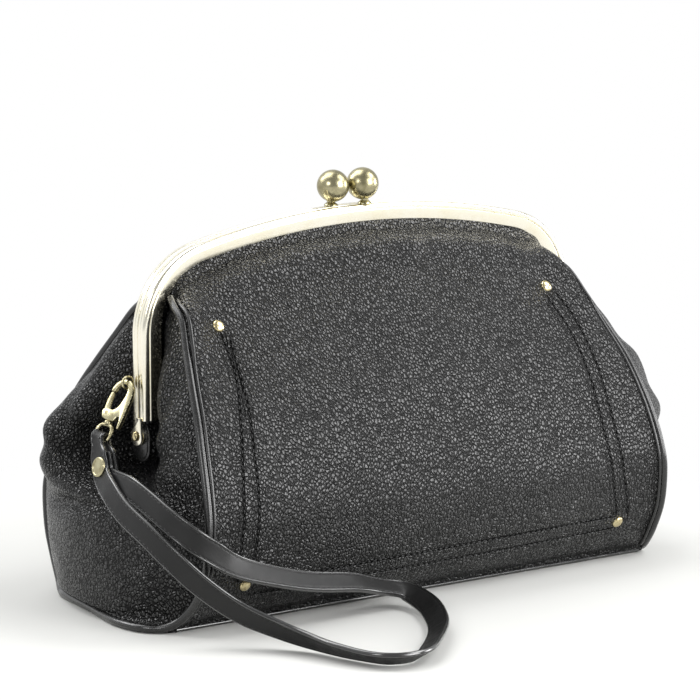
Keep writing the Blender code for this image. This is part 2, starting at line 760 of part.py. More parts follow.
def build_linings():
    shares = [-1 + 2 * k / LINING_COLUMNS for k in range(LINING_COLUMNS + 1)]
    under_band, under_lip = CHANNEL_BAND + 2 * GAP, CHANNEL_LIP * 0.6
    side_top = arch_point(station_at(SEAM_MEETS_FRAME, under_band), under_band)[1]
    for side, name in ((-1, "front_lining"), (1, "rear_lining")):
        rows = []
        for y, z in lining_profile(side):
            half = lining_half_width(z) - 2 * GAP - LINING
            rise = max(0.0, (z - BELLY_HEIGHT) / (SEAM_TOP - BELLY_HEIGHT))
            row = []
            for u in shares:
                top = arch_point(station_at(SEAM_MEETS_FRAME * u, under_band), under_band)[1]
                row.append((half * u, side * y, z + (top - side_top) * rise**1.5))
            rows.append(row)
        depth = GAP + CHANNEL_WALL + GAP / 2 + LINING
        half = lining_half_width(SEAM_TOP) - 2 * GAP - LINING
        for inset in (under_band + CHANNEL_LIP, under_lip):
            row = []
            for u in shares:
                x, z = arch_point(station_at(half * u, under_band), inset)
                row.append((x, side * depth, z))
            rows.append(row)
        sheet(name, rows, LINING, cloth(name))
    depths = {side: lining_profile(side) for side in (-1, 1)}
    for end, name in ((-1, "left_side_lining"), (1, "right_side_lining")):
        rows = []
        for (front, z), (rear, _) in zip(depths[-1], depths[1]):
            if z > LINING_FLOOR:
                low, high = (side * (y - LINING - 2 * GAP) for side, y in ((-1, front), (1, rear)))
                rows.append([(end * lining_half_width(z), mixed(low, high, k / 8), z) for k in range(9)])
        sheet(name, rows, LINING, cloth(name))
    rows = []
    for y, z in depths[1]:
        if POCKET_LOW <= z <= POCKET_HIGH:
            depth = y - LINING - 2 * GAP
            rows.append([(mixed(-POCKET_HALF_WIDTH, POCKET_HALF_WIDTH, k / 6), depth, z) for k in range(7)])
    sheet("slip_pocket", rows, LINING, cloth("slip_pocket"))


def build_frame_cords(origin):
    for side, name in ((-1, "front_frame_cord"), (1, "rear_frame_cord")):
        depth = GAP / 2 + CHANNEL_WALL + GAP + CORD_RADIUS
        inset = CHANNEL_WALL + GAP + CORD_RADIUS
        reach = SEAM_MEETS_FRAME - 2 * CHANNEL_LIP
        steps = 36
        points = []
        for k in range(steps + 1):
            station = station_at(reach * (-1 + 2 * k / steps), inset)
            x, z = arch_point(station, inset)
            points.append((x, side * depth, z))
        tube(name, points, CORD_RADIUS, material(name, PAPER, 0.9), 1)


def on_front_panel(across, height):
    """The front panel's outer point and outward direction, at a share of its half width and a height."""
    column = (across + 1) / 2 * PANEL_COLUMNS
    left = int(column)
    line = []
    for row in panel_rows(-1):
        near, far = Vector(row[left]), Vector(row[left + 1])
        line.append((near.lerp(far, column - left), far - near))
    for (low, _), (high, along) in zip(line, line[1:]):
        if high.z >= height:
            break
    normal = along.cross(high - low).normalized()
    if normal.y > 0:
        normal = -normal
    return low.lerp(high, (height - low.z) / (high.z - low.z)), normal


# How far out the studs sit, as shares of the panel's half width at their height
UPPER_STUD_SHARE = 0.842
LOWER_STUD_SHARE = 0.838


def build_studs():
    for end, across in ((-1, "left"), (1, "right")):
        for share, height, level in (
            (UPPER_STUD_SHARE, UPPER_STUD_HEIGHT, "upper"),
            (LOWER_STUD_SHARE, LOWER_STUD_HEIGHT, "lower"),
        ):
            place, normal = on_front_panel(end * share, height)
            name = f"{level}_{across}_stud"
            profile = [
                (0, 0),
                (STUD_RADIUS, 0),
                (STUD_RADIUS, STUD_HEIGHT * 0.2),
                (STUD_RADIUS * 0.8, STUD_HEIGHT * 0.68),
                (STUD_RADIUS * 0.42, STUD_HEIGHT * 0.94),
                (0, STUD_HEIGHT),
            ]
            stud = turned(name, profile, place + normal * (2 * GAP), normal, 16)
            add(name, stud, pale_brass(name))


# The clip hangs from the ring, leaning out over the gusset
RING_CENTRE = Vector((
    -FRAME_HALF_WIDTH - GAP - RING_RADIUS, CHANNEL_DEPTH / 2, RING_HEIGHT,
))
CLIP_PIVOT = RING_CENTRE - Vector((0, 0, RING_HOLE * 0.05))
CLIP_LEAN = math.radians(33)
CLIP_YAW = math.radians(2)
CLIP_TURN = math.radians(17)
CLIP_DOWN = Vector((
    -math.sin(CLIP_LEAN) * math.cos(CLIP_YAW),
    -math.sin(CLIP_LEAN) * math.sin(CLIP_YAW),
    -math.cos(CLIP_LEAN),
))
CLIP_LEVEL = Vector((math.sin(CLIP_TURN), -math.cos(CLIP_TURN), 0))
CLIP_ACROSS = (CLIP_LEVEL - CLIP_DOWN * CLIP_LEVEL.dot(CLIP_DOWN)).normalized()
CLIP_OUT = CLIP_DOWN.cross(CLIP_ACROSS)


def clip_place(across, down, out=0.0):
    return CLIP_PIVOT + CLIP_ACROSS * across + CLIP_DOWN * down + CLIP_OUT * out


CLIP_MATRIX = Matrix.Translation(CLIP_PIVOT) @ Matrix((
    (CLIP_ACROSS.x, CLIP_DOWN.x, CLIP_OUT.x, 0),
    (CLIP_ACROSS.y, CLIP_DOWN.y, CLIP_OUT.y, 0),
    (CLIP_ACROSS.z, CLIP_DOWN.z, CLIP_OUT.z, 0),
    (0, 0, 0, 1),
))
# Outside of the snap hook from its tip over the top and down to its foot, across and down
HOOK_OUTER_SHARES = [
    (-0.96, 0.30), (-0.93, 0.16), (-0.72, 0.04), (-0.36, -0.045), (0.0, -0.065), (0.40, -0.04), (0.76, 0.08),
    (0.97, 0.28), (1.0, 0.50), (0.90, 0.70), (0.66, 0.86), (0.46, 1.0), (-0.46, 1.0), (-0.74, 0.95),
    (-0.94, 0.80),
]
HOOK_INNER_SHARES = [
    (-0.50, 0.72), (0.10, 0.70), (0.46, 0.58), (0.60, 0.42), (0.56, 0.26), (0.38, 0.13), (0.0, 0.050),
    (-0.36, 0.10), (-0.56, 0.20), (-0.64, 0.30),
]
GATE_SHARES = [
    (-0.94, 0.325), (-0.66, 0.325), (-0.60, 0.50), (-0.48, 0.66), (-0.26, 0.76), (-0.26, 0.88), (-0.42, 0.93),
    (-0.66, 0.91), (-0.88, 0.74), (-0.98, 0.50),
]
GATE_SLOT_SHARES = [(-1.20, 0.60), (-0.14, 0.62), (-0.14, 0.955), (-1.20, 0.965)]
GATE_PIN_SHARE = (-0.50, 0.83)


def shares_to_clip(shares):
    return [(a * CLIP_HALF_WIDTH, b * CLIP_LENGTH) for a, b in shares]


def build_clip():
    name = "strap_ring"
    wire = (RING_RADIUS - RING_HOLE) / 2
    middle = RING_RADIUS - wire
    bm = bmesh.new()
    bmesh.ops.create_circle(bm, segments=8, radius=1.0)
    for point in bm.verts:
        across, along = point.co.x * wire, point.co.y * RING_THICKNESS / 2
        point.co = RING_CENTRE + Vector((middle + across, along, 0))
    bmesh.ops.spin(
        bm, geom=bm.verts[:] + bm.edges[:], cent=RING_CENTRE, axis=(0, 1, 0), angle=2 * math.pi,
        steps=20, use_merge=True,
    )
    add(name, mesh_of(bm, name), brass(name))

    name = "snap_hook"
    half = CLIP_THICKNESS / 2
    outline = shares_to_clip(HOOK_OUTER_SHARES + HOOK_INNER_SHARES)
    hook = add(name, plate(name, outline, -half, half, CLIP_MATRIX), pale_brass(name), CLIP_PIVOT)
    # The foot is slotted for the gate and drilled for its pin
    slot_half = GATE_THICKNESS / 2 + GAP
    slot = plate(
        "gate_slot", shares_to_clip(GATE_SLOT_SHARES), -slot_half, slot_half, CLIP_MATRIX,
    )
    boolean(hook, add("gate_slot", slot, pale_brass(name)), "DIFFERENCE")
    across, down = shares_to_clip([GATE_PIN_SHARE])[0]
    pin_base = clip_place(across, down)
    pin_hole = GATE_PIN_RADIUS + GAP
    drill = turned(
        "pin_drill",
        [(0, -2 * half), (pin_hole, -2 * half), (pin_hole, 2 * half), (0, 2 * half)],
        pin_base, CLIP_OUT, 12,
    )
    drill = add("pin_drill", drill, pale_brass(name))
    boolean(hook, drill, "DIFFERENCE")

    name = "snap_gate"
    gate_half = GATE_THICKNESS / 2
    gate = add(
        name, plate(name, shares_to_clip(GATE_SHARES), -gate_half, gate_half, CLIP_MATRIX),
        pale_brass(name), pin_base,
    )
    boolean(gate, drill, "DIFFERENCE")
    name = "gate_pin"
    pin = [(0, -half), (GATE_PIN_RADIUS, -half), (GATE_PIN_RADIUS, half), (0, half)]
    add(name, turned(name, pin, pin_base, CLIP_OUT, 12), pale_brass(name))

    name = "swivel_eye"
    neck = CLIP_LENGTH + GAP
    eye_top = neck + EYE_WIRE
    eye_mid = eye_top + EYE_WIRE
    profile = [
        (0, neck), (SWIVEL_RADIUS * 1.5, neck), (SWIVEL_RADIUS * 1.5, eye_top), (0, eye_mid),
    ]
    path = []
    width = EYE_HALF_WIDTH - EYE_WIRE
    low = eye_mid + EYE_HEIGHT - 2 * EYE_WIRE
    for a, b in ((0.0, 0.0), (0.55, 0.02), (0.90, 0.25), (1.0, 0.60), (0.95, 0.90), (0.75, 1.0), (0.0, 1.0)):
        path.append((a * width, mixed(eye_mid, low, b)))
    path += [(-a, b) for a, b in reversed(path[1:-1])]
    sides = 8
    bm = bmesh.new()
    loops = []
    for i, (a, b) in enumerate(path):
        before, after = path[i - 1], path[(i + 1) % len(path)]
        run = Vector((after[0] - before[0], after[1] - before[1])).normalized()
        ring = []
        for k in range(sides):
            angle = 2 * math.pi * k / sides
            off, out = EYE_WIRE * math.cos(angle), EYE_WIRE * math.sin(angle)
            ring.append(bm.verts.new(clip_place(a - run.y * off, b + run.x * off, out)))
        loops.append(ring)
    for low_ring, high_ring in zip(loops, loops[1:] + loops[:1]):
        for k in range(sides):
            m = (k + 1) % sides
            bm.faces.new((low_ring[k], low_ring[m], high_ring[m], high_ring[k]))
    eye = add(name, mesh_of(bm, name), pale_brass(name), clip_place(0, CLIP_LENGTH))
    collar = turned("swivel_collar", profile, CLIP_PIVOT, CLIP_DOWN, 16)
    boolean(eye, add("swivel_collar", collar, pale_brass(name)), "UNION")
    return low


# The strap's middle line after the tab: down to the floor, round the loop that lies there and
# back along the belly. Places are shares of the strap's reach and of the eye's height, then come
# the heading of its outer face and how far that face leans down, in degrees.
STRAP_SHARES = [
    (-0.057, 0.127, 0.760, 178, -16),
    (-0.067, 0.211, 0.672, 181, -12),
    (-0.061, 0.321, 0.574, 191, -8),
    (-0.041, 0.411, 0.461, 204, -2),
    (0.004, 0.481, 0.332, 210, 5),
    (0.071, 0.551, 0.204, 211, 15),
    (0.144, 0.637, 0.117, 205, 28),
    (0.189, 0.717, 0.073, 198, 38),
    (0.213, 0.837, 0.058, 200, 50),
    (0.257, 0.951, 0.053, 232, 57),
    (0.351, 0.972, 0.053, 281, 57),
    (0.462, 0.885, 0.053, 313, 57),
    (0.579, 0.764, 0.053, 320, 56),
    (0.662, 0.644, 0.054, 328, 58),
    (0.717, 0.531, 0.062, 352, 60),
    (0.717, 0.441, 0.095, 408, 61),
    (0.624, 0.434, 0.147, 450, 58),
    (0.534, 0.447, 0.199, 452, 51),
    (0.373, 0.451, 0.251, 450, 47),
    (0.215, 0.453, 0.341, 449, 38),
    (0.124, 0.457, 0.412, 444, 26),
    (0.057, 0.461, 0.495, 424, 17),
    (0.001, 0.437, 0.583, 395, 14),
    (-0.029, 0.371, 0.669, 373, 14),
    (-0.037, 0.277, 0.746, 364, 16),
    (-0.038, 0.191, 0.795, 359, 18),
]
TAB_AIM = Vector((-0.200, -0.560, -0.800)).normalized()
TAB_FACING = Vector((-0.959, 0.0, 0.242))


def strap_line(bar):
    """How far out the strap hangs, then the tab's length, direction and outward face."""
    hang = min(bar.x, STRAP_INSET - GUSSET_REACH)
    tab = TAB_AIM * TAB_RUN + Vector((hang - bar.x, 0, 0))
    down = tab.normalized()
    out = (TAB_FACING - down * TAB_FACING.dot(down)).normalized()
    return hang, tab.length, down, out


def strap_stations(bar):
    """Places and outward faces along the strap, from its folded inner end to its other end."""
    layer = STRAP_THICKNESS + GAP
    turn = EYE_WIRE + GAP + STRAP_THICKNESS / 2
    hang, run, down, out = strap_line(bar)
    fold_down = (down - CLIP_ACROSS * down.dot(CLIP_ACROSS)).normalized()
    fold_out = (out - CLIP_ACROSS * out.dot(CLIP_ACROSS))
    fold_out = (fold_out - fold_down * fold_out.dot(fold_down)).normalized()
    stations = []
    for share in (1.0, 0.72, 0.42):
        stations.append((bar + down * (run * share) - out * layer, -out))
    for k in range(6):
        angle = math.pi * k / 5
        aim = -fold_out * math.cos(angle) - fold_down * math.sin(angle)
        stations.append((bar + aim * turn, aim))
    for share in (0.42, 0.72, 1.0):
        stations.append((bar + down * (run * share) + out * layer, out))
    for x, y, z, heading, lean in STRAP_SHARES:
        heading, lean = math.radians(heading), math.radians(lean)
        face = Vector((
            math.cos(heading) * math.cos(lean), math.sin(heading) * math.cos(lean), -math.sin(lean),
        ))
        stations.append((
            Vector((hang + x * STRAP_DROP, bar.y - y * STRAP_DROP, z * bar.z)), face,
        ))
    for share in (1.0, 0.75, 0.45):
        stations.append((bar + down * (run * share), -out))
    return stations


def build_strap(eye_low):
    bar = clip_place(0, eye_low)
    stations = strap_stations(bar)
    steps = 3
    places = smooth_through([place for place, _ in stations], steps)
    faces = smooth_through([face for _, face in stations], steps)
    rings = []
    for i, (place, face) in enumerate(zip(places, faces)):
        run = direction_at(places, i)
        face = (face - run * face.dot(run)).normalized()
        across = run.cross(face)
        far = (place - bar).length
        share = eased(TAB_RUN * 0.2, TAB_RUN * 0.5, far)
        half = mixed(STRAP_NECK, STRAP_WIDTH, share) / 2
        thick = STRAP_THICKNESS / 2
        rings.append([
            tuple(place + across * (a * half) + face * (b * thick))
            for a, b in ((-1, -1), (1, -1), (1, 1), (-1, 1))
        ])
    name = "wrist_strap"
    strap = add(name, swept(name, rings), smooth_leather(name), bar)
    _, _, down, out = strap_line(bar)
    seat = bar + down * TAB_RIVET
    layer = STRAP_THICKNESS + GAP
    high = layer + STRAP_THICKNESS / 2 + GAP
    shank, head, rise = STRAP_SHANK_RADIUS, STRAP_RIVET_RADIUS, STRAP_RIVET_RISE
    hole = turned(
        "strap_hole",
        [(0, -high - OVERRUN), (shank + GAP, -high - OVERRUN),
         (shank + GAP, high + OVERRUN), (0, high + OVERRUN)],
        seat, out, 12,
    )
    boolean(strap, add("strap_hole", hole, smooth_leather(name)), "DIFFERENCE")
    name = "strap_rivet"
    profile = [
        (0, -high - rise * 0.7),
        (head * 0.75, -high - rise * 0.7),
        (head * 0.75, -high),
        (shank, -high),
        (shank, high),
        (head, high),
        (head, high + rise * 0.4),
        (head * 0.82, high + rise * 0.8),
        (head * 0.45, high + rise),
        (0, high + rise),
    ]
    add(name, turned(name, profile, seat, out, 20), pale_brass(name))


def main():
    clear_scene()
    hinge = Vector((0, 0, HINGE_HEIGHT))
    frame_half("front_frame", -1, hinge)
    frame_half("rear_frame", 1, hinge)
    hinge_rivets_and_patches()
    spacing = BALL_RADIUS + GAP / 2
    clasp("front_clasp_ball", CLASP_OFFSET + spacing, -1, hinge)
    clasp("rear_clasp_ball", CLASP_OFFSET - spacing, 1, hinge)
    build_frame_cords(hinge)
    build_panels()
    build_base()
    pipings()
    build_gussets()
    build_linings()
    build_studs()
    eye_low = build_clip()
    build_strap(eye_low)


main()
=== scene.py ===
import math

import bmesh
import bpy
from mathutils import Matrix, Vector, noise


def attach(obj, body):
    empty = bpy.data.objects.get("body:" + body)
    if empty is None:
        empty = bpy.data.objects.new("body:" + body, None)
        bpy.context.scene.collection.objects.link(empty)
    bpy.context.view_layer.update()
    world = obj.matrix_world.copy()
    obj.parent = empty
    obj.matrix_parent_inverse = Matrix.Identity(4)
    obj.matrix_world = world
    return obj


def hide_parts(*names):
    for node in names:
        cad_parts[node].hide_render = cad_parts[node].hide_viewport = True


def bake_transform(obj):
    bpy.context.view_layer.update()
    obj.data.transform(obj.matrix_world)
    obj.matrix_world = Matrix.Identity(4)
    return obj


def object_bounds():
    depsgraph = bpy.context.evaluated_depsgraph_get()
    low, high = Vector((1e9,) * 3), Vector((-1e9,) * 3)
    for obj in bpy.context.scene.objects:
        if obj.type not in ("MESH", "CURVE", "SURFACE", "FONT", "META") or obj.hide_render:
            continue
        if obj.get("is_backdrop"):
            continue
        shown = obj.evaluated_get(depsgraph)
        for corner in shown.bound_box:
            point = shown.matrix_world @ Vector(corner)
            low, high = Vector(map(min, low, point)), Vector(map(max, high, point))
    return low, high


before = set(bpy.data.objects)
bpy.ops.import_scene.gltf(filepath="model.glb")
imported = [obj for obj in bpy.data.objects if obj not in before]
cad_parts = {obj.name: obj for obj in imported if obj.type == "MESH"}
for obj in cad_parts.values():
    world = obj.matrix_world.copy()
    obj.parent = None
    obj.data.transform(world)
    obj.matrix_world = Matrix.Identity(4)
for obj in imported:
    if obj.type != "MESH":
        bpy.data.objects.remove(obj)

cad_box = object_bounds()


# Camera: a long lens a little above the bag's middle, off its front left corner.
view_turn, view_rise = math.radians(-36.99), math.radians(9.80)
level_reach = math.cos(view_rise)
view_back = Vector((
    math.sin(view_turn) * level_reach, -math.cos(view_turn) * level_reach, math.sin(view_rise),
))
camera = bpy.data.objects.new("camera", bpy.data.cameras.new("camera"))
camera.data.lens = 205.8
camera.data.sensor_width = 36.0
camera.data.clip_end = 20.0
camera.location = (-1.0210, -1.3497, 0.3899)
camera.rotation_euler = view_back.to_track_quat("Z", "Y").to_euler()
bpy.context.scene.collection.objects.link(camera)
bpy.context.scene.camera = camera


# Studio: a pale floor under soft boxes, before a white backdrop behind the bag. The floor keeps
# the bag's soft shadow and turns plain white further off.
def put(tree, kind, settings=None, inputs=None, out=0):
    """Adds a shader node with these settings and inputs, and gives one of its outputs."""
    made = tree.nodes.new("ShaderNode" + kind)
    for key, value in (settings or {}).items():
        setattr(made, key, value)
    for key, value in (inputs or {}).items():
        if isinstance(value, bpy.types.NodeSocket):
            tree.links.new(value, made.inputs[key])
        else:
            made.inputs[key].default_value = value
    return made.outputs[out] if made.outputs else made


def graded(tree, value, low, high, start=0.0, end=1.0):
    """The value's run from low to high as a run from start to end, eased."""
    return put(
        tree, "MapRange", {"interpolation_type": "SMOOTHSTEP"},
        {"Value": value, "From Min": low, "From Max": high, "To Min": start, "To Max": end},
    )


bm = bmesh.new()
floor_radius = 6.0
bmesh.ops.create_circle(bm, cap_ends=True, segments=64, radius=floor_radius)
bm.faces.ensure_lookup_table()
if bm.faces[0].normal.z < 0:
    bmesh.ops.reverse_faces(bm, faces=bm.faces)
floor_mesh = bpy.data.meshes.new("floor")
bm.to_mesh(floor_mesh)
bm.free()
floor = bpy.data.objects.new("floor", floor_mesh)
bpy.context.scene.collection.objects.link(floor)
paper = bpy.data.materials.new("white_paper")
paper.use_nodes = True
tree = paper.node_tree
tree.nodes.clear()
place = put(tree, "TexCoord", out="Object")
spot = put(tree, "VectorMath", {"operation": "ADD"}, {0: place, 1: (0.03, 0, 0)})
away = put(tree, "VectorMath", {"operation": "LENGTH"}, {0: spot}, "Value")
matt = put(tree, "BsdfDiffuse", inputs={"Color": (0.60, 0.60, 0.582, 1)})
bright = put(tree, "Emission", inputs={"Color": (1, 1, 1, 1), "Strength": 1.0})
path = tree.nodes.new("ShaderNodeLightPath")
seen = put(
    tree, "Math", {"operation": "MAXIMUM"},
    {0: path.outputs["Is Camera Ray"], 1: path.outputs["Is Glossy Ray"]},
)
shadow_edge, white_edge = 0.165, 0.28
far_off = graded(tree, away, shadow_edge, white_edge)
share = put(tree, "Math", {"operation": "MULTIPLY"}, {0: seen, 1: far_off})
surface = put(tree, "MixShader", inputs={0: share, 1: matt, 2: bright})
put(tree, "OutputMaterial", inputs={"Surface": surface})
floor_mesh.materials.append(paper)
floor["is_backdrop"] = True

surround = bpy.data.worlds.new("surround")
surround.use_nodes = True
tree = surround.node_tree
tree.nodes.clear()
way = put(tree, "SeparateXYZ", inputs={0: put(tree, "TexCoord", out="Generated")}, out="Y")
level = graded(tree, way, -0.3, 0.75, 0.42, 0.95)
room = put(tree, "Background", inputs={"Color": (0.98, 0.99, 1.0, 1), "Strength": level})
white = put(tree, "Background", inputs={"Color": (1, 1, 1, 1), "Strength": 1.0})
seen = put(tree, "LightPath", out="Is Camera Ray")
surface = put(tree, "MixShader", inputs={0: seen, 1: room, 2: white})
put(tree, "OutputWorld", inputs={"Surface": surface})
bpy.context.scene.world = surround
bpy.context.scene.view_settings.view_transform = "Standard"

lamp_aim = Vector((0, 0, 0.08))
for name, place, size, power in (
    ("high_box", (0.75, -0.50, 1.05), 0.70, 10.0),
    ("front_box", (0.48, -1.30, 0.55), 0.85, 19.0),
    ("right_box", (1.25, -0.50, 0.30), 0.55, 8.0),
    ("top_box", (-0.25, 0.45, 1.25), 0.90, 9.0),
    ("left_box", (-0.75, 1.00, 0.95), 0.50, 7.0),
    ("side_box", (-1.05, -0.35, 0.60), 0.35, 3.0),
):
    lamp = bpy.data.lights.new(name, "AREA")
    lamp.shape = "SQUARE"
    lamp.size = size
    lamp.energy = power
    box = bpy.data.objects.new(name, lamp)
    box.location = place
    box.rotation_euler = (Vector(place) - lamp_aim).to_track_quat("Z", "Y").to_euler()
    box.visible_camera = False
    bpy.context.scene.collection.objects.link(box)


# Frame: two channels of brass sheet bent to the same arch, antiqued and satin brushed. Each ends
# in a pair of tabs, and a rivet through the tabs at either foot is the hinge.
frame_half_width = 0.1139
corner_x, corner_height, corner_radius = 0.0764, 0.1148, 0.0375
top_radius, top_centre, corner_angle = 0.36987, -0.20867, math.radians(76.711)
leg_foot, hinge_height = 0.0800, 0.0733
channel_depth, channel_band, channel_lip, channel_wall = 0.0046, 0.0075, 0.0050, 0.0008
leg_band = 0.0096  # the band is wider down the legs than along the top
halves_gap = 0.00015


def finished(bm, name, finish, angle=35, body=None, replaces=()):
    """An object of this bmesh in the scene, smooth but for edges sharper than the angle."""
    bmesh.ops.recalc_face_normals(bm, faces=bm.faces)
    mesh = bpy.data.meshes.new(name)
    bm.to_mesh(mesh)
    bm.free()
    mesh.shade_smooth()
    mesh.set_sharp_from_angle(angle=math.radians(angle))
    mesh.materials.append(finish)
    piece = bpy.data.objects.new(name, mesh)
    bpy.context.scene.collection.objects.link(piece)
    if replaces:
        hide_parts(*replaces)
    if body:
        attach(piece, body)
    return piece


def blank(name):
    """A new material, its node tree and its principled shader."""
    made = bpy.data.materials.new(name)
    made.use_nodes = True
    return made, made.node_tree, made.node_tree.nodes["Principled BSDF"]


def mixed_colour(tree, share, first, second):
    return put(tree, "Mix", {"data_type": "RGBA"}, {0: share, 6: first, 7: second}, 2)


def bumped(tree, shader, height, distance, strength=1.0, under=None):
    """Sets a bump of this height under the shader, on top of another one if given."""
    inputs = {"Height": height, "Distance": distance, "Strength": strength}
    if under is not None:
        inputs["Normal"] = under
    relief = put(tree, "Bump", inputs=inputs)
    tree.links.new(relief, shader.inputs["Normal"])
    return relief


def antique_brass(name, bright, dull, low_rough, high_rough, grain=(1.0, 1.0, 1.0), cloud=55.0):
    """Brass with a cloudy patina, and fine brush lines that run long where the grain is small."""
    metal, tree, shader = blank(name)
    shader.inputs["Metallic"].default_value = 1.0
    place = put(tree, "TexCoord", out="Object")
    patina = put(tree, "TexNoise", inputs={
        "Vector": place, "Scale": cloud, "Detail": 5.0, "Roughness": 0.62,
    })
    along = put(tree, "Mapping", inputs={"Vector": place, "Scale": grain})
    brushed = put(tree, "TexNoise", inputs={
        "Vector": along, "Scale": 1200.0, "Detail": 3.0, "Roughness": 0.7,
    })
    both = put(tree, "Math", {"operation": "MULTIPLY_ADD"}, {0: brushed, 1: 0.35, 2: patina})
    share = graded(tree, both, 0.50, 0.95)
    tree.links.new(mixed_colour(tree, share, (*bright, 1), (*dull, 1)), shader.inputs["Base Color"])
    rough = put(tree, "MapRange", inputs={
        "Value": both, "From Min": 0.4, "From Max": 0.95, "To Min": low_rough, "To Max": high_rough,
    })
    tree.links.new(rough, shader.inputs["Roughness"])
    bumped(tree, shader, brushed, 0.00001, 0.4)
    return metal


frame_brass = antique_brass(
    "frame_brass", (1.0, 0.96, 0.82), (0.93, 0.87, 0.68), 0.15, 0.27, (0.15, 1.0, 0.15),
)


def rounded_outline(bm, points, radii, place):
    """A flat face through the points with each corner rounded to its radius, put in place."""
    verts = [bm.verts.new((a, b, 0)) for a, b in points]
    bm.faces.new(verts)
    for vert, radius in zip(verts, radii):
        if radius:
            bmesh.ops.bevel(
                bm, geom=[vert], offset=radius, offset_type="OFFSET", segments=4, profile=0.5,
                affect="VERTICES", material=-1,
            )
    bmesh.ops.transform(bm, matrix=place, verts=bm.verts)
    return bm.faces[:]


corner_steps, top_steps = 26, 64


def frame_channel(bm, side):
    """The channel of one half, run up a leg, round both corners and down the other leg."""
    wall, depth, near = channel_wall, channel_depth, halves_gap
    corners = [  # across the band and back from the other half, then the corner's radius
        (0, near, 0.0003), (0, 0.0018, 0), (0.0003, 0.0020, 0), (0, 0.0022, 0), (0, depth, 0.0014),
        (0.0022, depth, 0.0001), (0.00245, depth - 0.0004, 0), (0.0027, depth, 0.0001),
        (0.0040, depth, 0.0010),
        (channel_band, depth - 0.0008, 0.0003), (channel_band, depth - 0.0016, 0.0002),
        (wall * 2, depth - wall, 0.0004), (wall, depth - wall * 2, 0.0004), (wall, near + wall, 0.0003),
        (channel_lip, near + wall, 0.0002), (channel_lip, near, 0.0002),
    ]
    points, radii = [(a, b) for a, b, _ in corners], [radius for _, _, radius in corners]
    place = Matrix(((1, 0, 0, -frame_half_width), (0, side, 0, 0), (0, 0, 1, leg_foot), (0, 0, 0, 1)))
    faces = rounded_outline(bm, points, radii, place)
    edges = list({e for f in faces for e in f.edges})
    bmesh.ops.delete(bm, geom=faces, context="FACES_ONLY")

    def raised(edges, way):
        made = bmesh.ops.extrude_edge_only(bm, edges=edges)["geom"]
        bmesh.ops.translate(bm, vec=way, verts=[g for g in made if isinstance(g, bmesh.types.BMVert)])
        return [g for g in made if isinstance(g, bmesh.types.BMEdge)]

    def bent(edges, centre, angle, steps):
        geom = list({v for e in edges for v in e.verts}) + edges
        made = bmesh.ops.spin(bm, geom=geom, cent=centre, axis=(0, 1, 0), angle=angle, steps=steps)
        return [g for g in made["geom_last"] if isinstance(g, bmesh.types.BMEdge)]

    foot = edges
    edges = raised(edges, (0, 0, corner_height - leg_foot))
    edges = bent(edges, (-corner_x, 0, corner_height), corner_angle, corner_steps)
    edges = bent(edges, (0, 0, top_centre), math.pi - 2 * corner_angle, top_steps)
    edges = bent(edges, (corner_x, 0, corner_height), corner_angle, corner_steps)
    edges = raised(edges, (0, 0, leg_foot - corner_height))
    bmesh.ops.contextual_create(bm, geom=foot)
    bmesh.ops.contextual_create(bm, geom=edges)
    bmesh.ops.triangulate(bm, faces=[f for f in bm.faces if len(f.verts) > 4])
    for vert in bm.verts:
        over, up = abs(vert.co.x) - corner_x, max(0.0, vert.co.z - corner_height)
        reach, turn = math.hypot(over, up), math.atan2(up, over)
        if over > 0 and turn < corner_angle:
            wider = (leg_band / channel_band - 1) * (1 - turn / corner_angle) ** 1.5
            moved = 1 - (corner_radius - reach) * wider / reach
            vert.co.x = math.copysign(corner_x + over * moved, vert.co.x)
            if up:
                vert.co.z = corner_height + up * moved


def cut_plate(bm, points, low, high, place, ease=0.0002, segments=2):
    """A plate of this outline between two heights, its rims eased, added in place."""
    fresh = bmesh.new()
    face = fresh.faces.new([fresh.verts.new((a, b, low)) for a, b in points])
    grown = bmesh.ops.extrude_face_region(fresh, geom=[face])["geom"]
    raised = [g for g in grown if isinstance(g, bmesh.types.BMVert)]
    bmesh.ops.translate(fresh, vec=(0, 0, high - low), verts=raised)
    bmesh.ops.recalc_face_normals(fresh, faces=fresh.faces)
    rims = [e for e in fresh.edges if e.calc_face_angle(0) > 1.0]
    bmesh.ops.bevel(
        fresh, geom=rims, offset=ease, offset_type="OFFSET", segments=segments, profile=0.5,
        affect="EDGES", material=-1,
    )
    bmesh.ops.transform(fresh, matrix=place, verts=fresh.verts)
    mesh = bpy.data.meshes.new("plate")
    fresh.to_mesh(mesh)
    fresh.free()
    bm.from_mesh(mesh)
    bpy.data.meshes.remove(mesh)


def hinge_tab(bm, side, end, outer):
    """A tab from the leg's wall down round the rivet."""
    inner, thick, radius = frame_half_width - 0.00095, 0.0009, 0.0040
    top = leg_foot + 0.0030
    if outer:
        inner, top = frame_half_width + 0.0002, leg_foot + 0.0012
    shoulder = channel_depth - 0.0009, hinge_height + 0.0030
    points = [(0.0003, top), (channel_depth - 0.0014, top), shoulder]
    first_turn, whole_turn, steps = math.radians(38), math.radians(262), 18
    for k in range(1, steps):
        turn = first_turn - whole_turn * k / steps
        points.append((radius * math.cos(turn), hinge_height + radius * math.sin(turn)))
    points.append((0.0002, leg_foot - 0.0006))
    place = Matrix(((0, 0, end, 0), (side, 0, 0, 0), (0, 1, 0, 0), (0, 0, 0, 1)))
    cut_plate(bm, points, inner, inner + thick, place)


for side, body, node in ((-1, "front_frame_half", "front_frame"), (1, "bag", "rear_frame")):
    bm = bmesh.new()
    frame_channel(bm, side)
    for end in (-1, 1):
        hinge_tab(bm, side, end, side < 0)
    finished(bm, node + "_brass", frame_brass, 38, body, [node])


